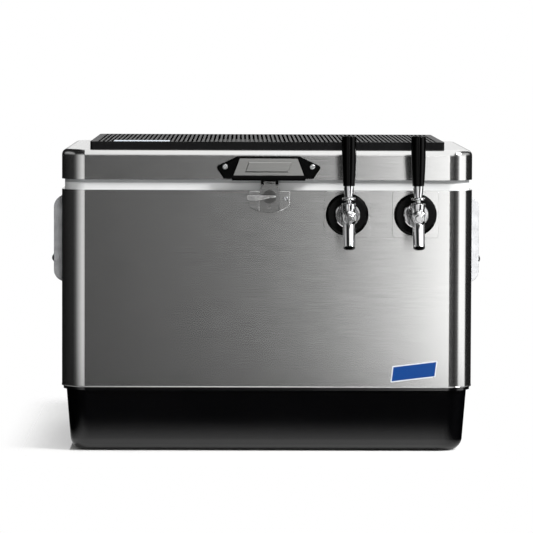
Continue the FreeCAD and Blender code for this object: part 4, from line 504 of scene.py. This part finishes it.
def wave_film():
    """Soft bands of pale blue that run across the plate as slow waves, 9 mm apart."""
    material, tree = new_material("printed_film_waves")
    bands = put(tree, "ShaderNodeTexWave", {
        "Vector": object_coordinates(tree, rotation=(0.0, 0.0, 0.5)), "Scale": 34.0, "Distortion": 5.0,
        "Detail": 1.0, "Detail Scale": 0.6}, wave_type="BANDS", bands_direction="Y", wave_profile="SIN")
    colour = put(tree, "ShaderNodeMix", {
        0: bands.outputs["Fac"], 6: linear("dfe9f3"), 7: linear("9fb9d6")}, data_type="RGBA")
    surface(tree, put(tree, "ShaderNodeBsdfPrincipled", {
        "Base Color": colour.outputs[2], "Roughness": 0.3, "Coat Weight": 0.4, "Coat Roughness": 0.1}))
    return material


def framed_film():
    """A blue field inside a white edge: distances to the slanted plate's sides choose the colour."""
    material, tree = new_material("printed_film_blue")
    centre = (LABEL_LOW + LABEL_HIGH) / 2
    source = put(tree, "ShaderNodeTexCoord")
    placed = put(tree, "ShaderNodeVectorMath", {0: source.outputs["Object"], 1: centre}, operation="SUBTRACT")
    turned = put(tree, "ShaderNodeMapping", {"Vector": placed.outputs[0], "Rotation": (0.0, LABEL_TILT, 0.0)})
    along = put(tree, "ShaderNodeSeparateXYZ", {0: turned.outputs[0]})
    lean = put(tree, "ShaderNodeMath", {0: along.outputs["Z"], 1: LABEL_SLANT / LABEL_SIZE[1]},
               operation="MULTIPLY")
    across = put(tree, "ShaderNodeMath", {0: along.outputs["X"], 1: lean.outputs[0]}, operation="SUBTRACT")
    inside = []
    for socket, half in ((across.outputs[0], LABEL_SIZE[0] / 2), (along.outputs["Z"], LABEL_SIZE[1] / 2)):
        size = put(tree, "ShaderNodeMath", {0: socket}, operation="ABSOLUTE")
        inside.append(put(tree, "ShaderNodeMath", {0: size.outputs[0], 1: half - LABEL_EDGE},
                          operation="LESS_THAN"))
    field = put(tree, "ShaderNodeMath", {0: inside[0].outputs[0], 1: inside[1].outputs[0]},
                operation="MULTIPLY")
    ink = put(tree, "ShaderNodeTexNoise", {"Vector": source.outputs["Object"], "Scale": 700.0, "Detail": 2.0})
    blue = put(tree, "ShaderNodeMix", {
        0: ink.outputs["Fac"], 6: linear("04408a"), 7: linear("064894")}, data_type="RGBA")
    colour = put(tree, "ShaderNodeMix", {
        0: field.outputs[0], 6: linear("e6ebf2"), 7: blue.outputs[2]}, data_type="RGBA")
    surface(tree, put(tree, "ShaderNodeBsdfPrincipled", {
        "Base Color": colour.outputs[2], "Roughness": 0.35, "Specular IOR Level": 0.2, "Coat Weight": 0.1,
        "Coat Roughness": 0.06}))
    return material


dress(wave_film(), "mat_label")
dress(framed_film(), "front_label")


# ---- Lid handle and its plate ----
# A moulded black ABS grip, screwed to the lid's front, with a plain satin plate let into it.
dress(moulded_plastic("moulded_abs", "020202", 0.24, 1.0, 0.02, gloss=0.06), "lid_handle")
PLATE_LOW, PLATE_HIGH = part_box("handle_plate")
FRAME_HALF = (0.032, 0.0072)
FRAME_LINE = 0.0009
FRAME_LEAN = 0.35
FRAME_RISE = 0.0011


def framed_plate():
    """Satin metal with a raised leaning rectangle: the height drops from full to none across a narrow slope at
    that rectangle's sides."""
    material = brushed_steel("satin_plate", "9a9a98", 0.30, 0.6, 0.6, 30.0, 0.01)
    tree = material.node_tree
    middle = (PLATE_LOW + PLATE_HIGH) / 2
    source = put(tree, "ShaderNodeTexCoord")
    placed = put(tree, "ShaderNodeVectorMath", {0: source.outputs["Object"], 1: middle}, operation="SUBTRACT")
    along = put(tree, "ShaderNodeSeparateXYZ", {0: placed.outputs[0]})
    lean = put(tree, "ShaderNodeMath", {0: along.outputs["Z"], 1: FRAME_LEAN}, operation="MULTIPLY")
    across = put(tree, "ShaderNodeMath", {0: along.outputs["X"], 1: lean.outputs[0]}, operation="SUBTRACT")
    over = []
    for socket, half in zip((across.outputs[0], along.outputs["Z"]), FRAME_HALF):
        size = put(tree, "ShaderNodeMath", {0: socket}, operation="ABSOLUTE")
        over.append(put(tree, "ShaderNodeMath", {0: size.outputs[0], 1: half}, operation="SUBTRACT"))
    beyond = put(tree, "ShaderNodeMath", {0: over[0].outputs[0], 1: over[1].outputs[0]}, operation="MAXIMUM")
    ridge = put(tree, "ShaderNodeMapRange", {
        "Value": beyond.outputs[0], "From Min": -FRAME_LINE, "From Max": FRAME_LINE,
        "To Min": 1.0, "To Max": 0.0},
        interpolation_type="SMOOTHSTEP")
    shader = next(node for node in tree.nodes if node.type == "BSDF_PRINCIPLED")
    raised = put(tree, "ShaderNodeBump", {"Height": ridge.outputs[0], "Strength": 1.0, "Distance": FRAME_RISE})
    tree.links.new(shader.inputs["Normal"].links[0].from_socket, raised.inputs["Normal"])
    tree.links.new(raised.outputs[0], shader.inputs["Normal"])
    return material


dress(framed_plate(), "handle_plate")


# ---- Latch and strike ----
# Pressed and polished stainless: the strike on the body, the hasp, and the turned thumb lever. The hasp is
# coloured darker than the strike, a painted shade; the lever has a painted highlight on its blade and painted
# shade on its boss.
SMEAR_MM = 14.0


def polished_metal(name, colour, rough, edge_mm):
    """Bright metal: edges rounded over to catch the light, and faint smears that change its gloss."""
    material, tree = new_material(name)
    smear = put(tree, "ShaderNodeTexNoise", {
        "Vector": object_coordinates(tree), "Scale": 1000.0 / SMEAR_MM, "Detail": 3.0, "Roughness": 0.5})
    roughness = put(tree, "ShaderNodeMapRange", {
        "Value": smear.outputs["Fac"], "From Min": 0.35, "From Max": 0.7,
        "To Min": rough, "To Max": rough * 1.3})
    edge = put(tree, "ShaderNodeBevel", {"Radius": edge_mm / 1000.0}, samples=6)
    surface(tree, put(tree, "ShaderNodeBsdfPrincipled", {
        "Base Color": linear(colour), "Metallic": 1.0, "Roughness": roughness.outputs[0],
        "Normal": edge.outputs[0]}))
    return material


# Painted shade: the hasp, its pin and the cam get a darker stainless than the strike, for the shade and dark
# reflections between the latch parts.
satin_stainless_painted_shade = brushed_steel("satin_stainless_painted_shade", "9c9c9b", 0.22, 0.8, 0.6, 40.0, 0.002, edge_mm=0.6)
dress(satin_stainless_painted_shade, "hasp", "hasp_pin", "latch_cam")
dress(brushed_steel("strike_stainless", "c6c6c5", 0.19, 0.8, 0.6, 40.0, 0.002, edge_mm=1.6), "strike_plate")
bright_stainless = polished_metal("polished_stainless", "b9babb", 0.20, 0.5)
dress(bright_stainless, "lid_screws", "body_screws")
LEVER_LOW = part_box("latch_lever")[0]
LEVER_BLADE_DEPTH = 0.0076
# Painted light: the blade's colour is a painted highlight, and the boss's a painted shade.
LEVER_PAINTED_HIGHLIGHT = "e2e2e1"
LEVER_PAINTED_SHADE = "767675"


def lever_painted_highlight_and_shade():
    """Polished metal, with a painted highlight on the blade in front and a painted shade on the boss behind
    it.
    """
    material = polished_metal("lever_painted_highlight_and_shade", LEVER_PAINTED_HIGHLIGHT, 0.14, 0.8)
    tree = material.node_tree
    place = put(tree, "ShaderNodeSeparateXYZ", {0: put(tree, "ShaderNodeTexCoord").outputs["Object"]})
    back = put(tree, "ShaderNodeMath", {0: place.outputs["Y"], 1: LEVER_LOW[1] + LEVER_BLADE_DEPTH},
               operation="GREATER_THAN")
    tone = put(tree, "ShaderNodeMix", {
        0: back.outputs[0], 6: linear(LEVER_PAINTED_HIGHLIGHT), 7: linear(LEVER_PAINTED_SHADE)}, data_type="RGBA")
    shader = next(node for node in tree.nodes if node.type == "BSDF_PRINCIPLED")
    tree.links.new(tone.outputs[2], shader.inputs["Base Color"])
    return material


dress(lever_painted_highlight_and_shade(), "latch_lever")


# ---- Backing plates and wall flanges ----
# A square polished stainless plate under each tap, and over it a black moulded flange.
dress(brushed_steel("plate_stainless", "cdcdcc", 0.18, 0.8, 0.8, 50.0, 0.01, edge_mm=1.0), "backing_plates")
dress(moulded_plastic("moulded_flange", "020202", 0.24, 1.2, 0.02, gloss=0.10), "wall_flanges")


# ---- Taps ----
# Cast and turned brass with bright nickel and chrome plating.
chrome = polished_metal("chromed_brass", "dededf", 0.07, 0.4)
dress(chrome, "shanks", "coupling_nuts", "shank_locknuts", "inlet_shanks", "inlet_locknuts")
for side in ("left", "right"):
    dress(chrome, "faucet_body_" + side, "faucet_bonnet_" + side, "faucet_shaft_" + side, "tap_lever_" + side,
          "handle_ferrule_" + side)


# ---- Tap handles ----
# Black phenolic, moulded and buffed to a gloss.
dress(moulded_plastic("moulded_phenolic", "020202", 0.14, 2.0, 0.005, gloss=0.12),
      "tap_handle_left", "tap_handle_right")


# ---- Side handles ----
# A chromed steel pressing on each side, with a bent wire bail in it and a black sleeve on the bail.
chromed_steel = polished_metal("chromed_steel", "d4d5d7", 0.20, 0.8)
for side in ("left", "right"):
    dress(chromed_steel, "side_bracket_" + side, "side_bail_" + side)
    dress(moulded_plastic("grip_vinyl_" + side, "0f0f10", 0.25, 1.5, 0.02), "side_grip_" + side)


# ---- Hinges ----
# Two stainless strap hinges, folded round their pins and screwed on.
dress(bright_stainless, "hinge_body_leaves", "hinge_lid_leaves", "hinge_pins")


# ---- Cooling coils and lines ----
# Drawn stainless tube, wound on a drum and strapped; short clear vinyl hoses with crimped clamps join
# it to the barbs.
dress(brushed_steel("drawn_tube", "bfc0c0", 0.26, 0.2, 0.8, 12.0, 0.01),
      "coil_left", "coil_right", "coil_bands")
dress(bright_stainless, "hose_barbs", "hose_clamps")


def clear_vinyl():
    """Extruded vinyl hose: mostly clear, slightly milky, with faint lengthwise streaks."""
    material, tree = new_material("clear_vinyl")
    streaks = put(tree, "ShaderNodeTexNoise", {
        "Vector": object_coordinates(tree), "Scale": 300.0, "Detail": 2.0})
    roughness = put(tree, "ShaderNodeMapRange", {
        "Value": streaks.outputs["Fac"], "To Min": 0.12, "To Max": 0.22})
    surface(tree, put(tree, "ShaderNodeBsdfPrincipled", {
        "Base Color": linear("eef2ef"), "Roughness": roughness.outputs[0], "IOR": 1.53,
        "Transmission Weight": 0.75}))
    return material


dress(clear_vinyl(), "inlet_hose_left", "inlet_hose_right", "outlet_hose_left", "outlet_hose_right")
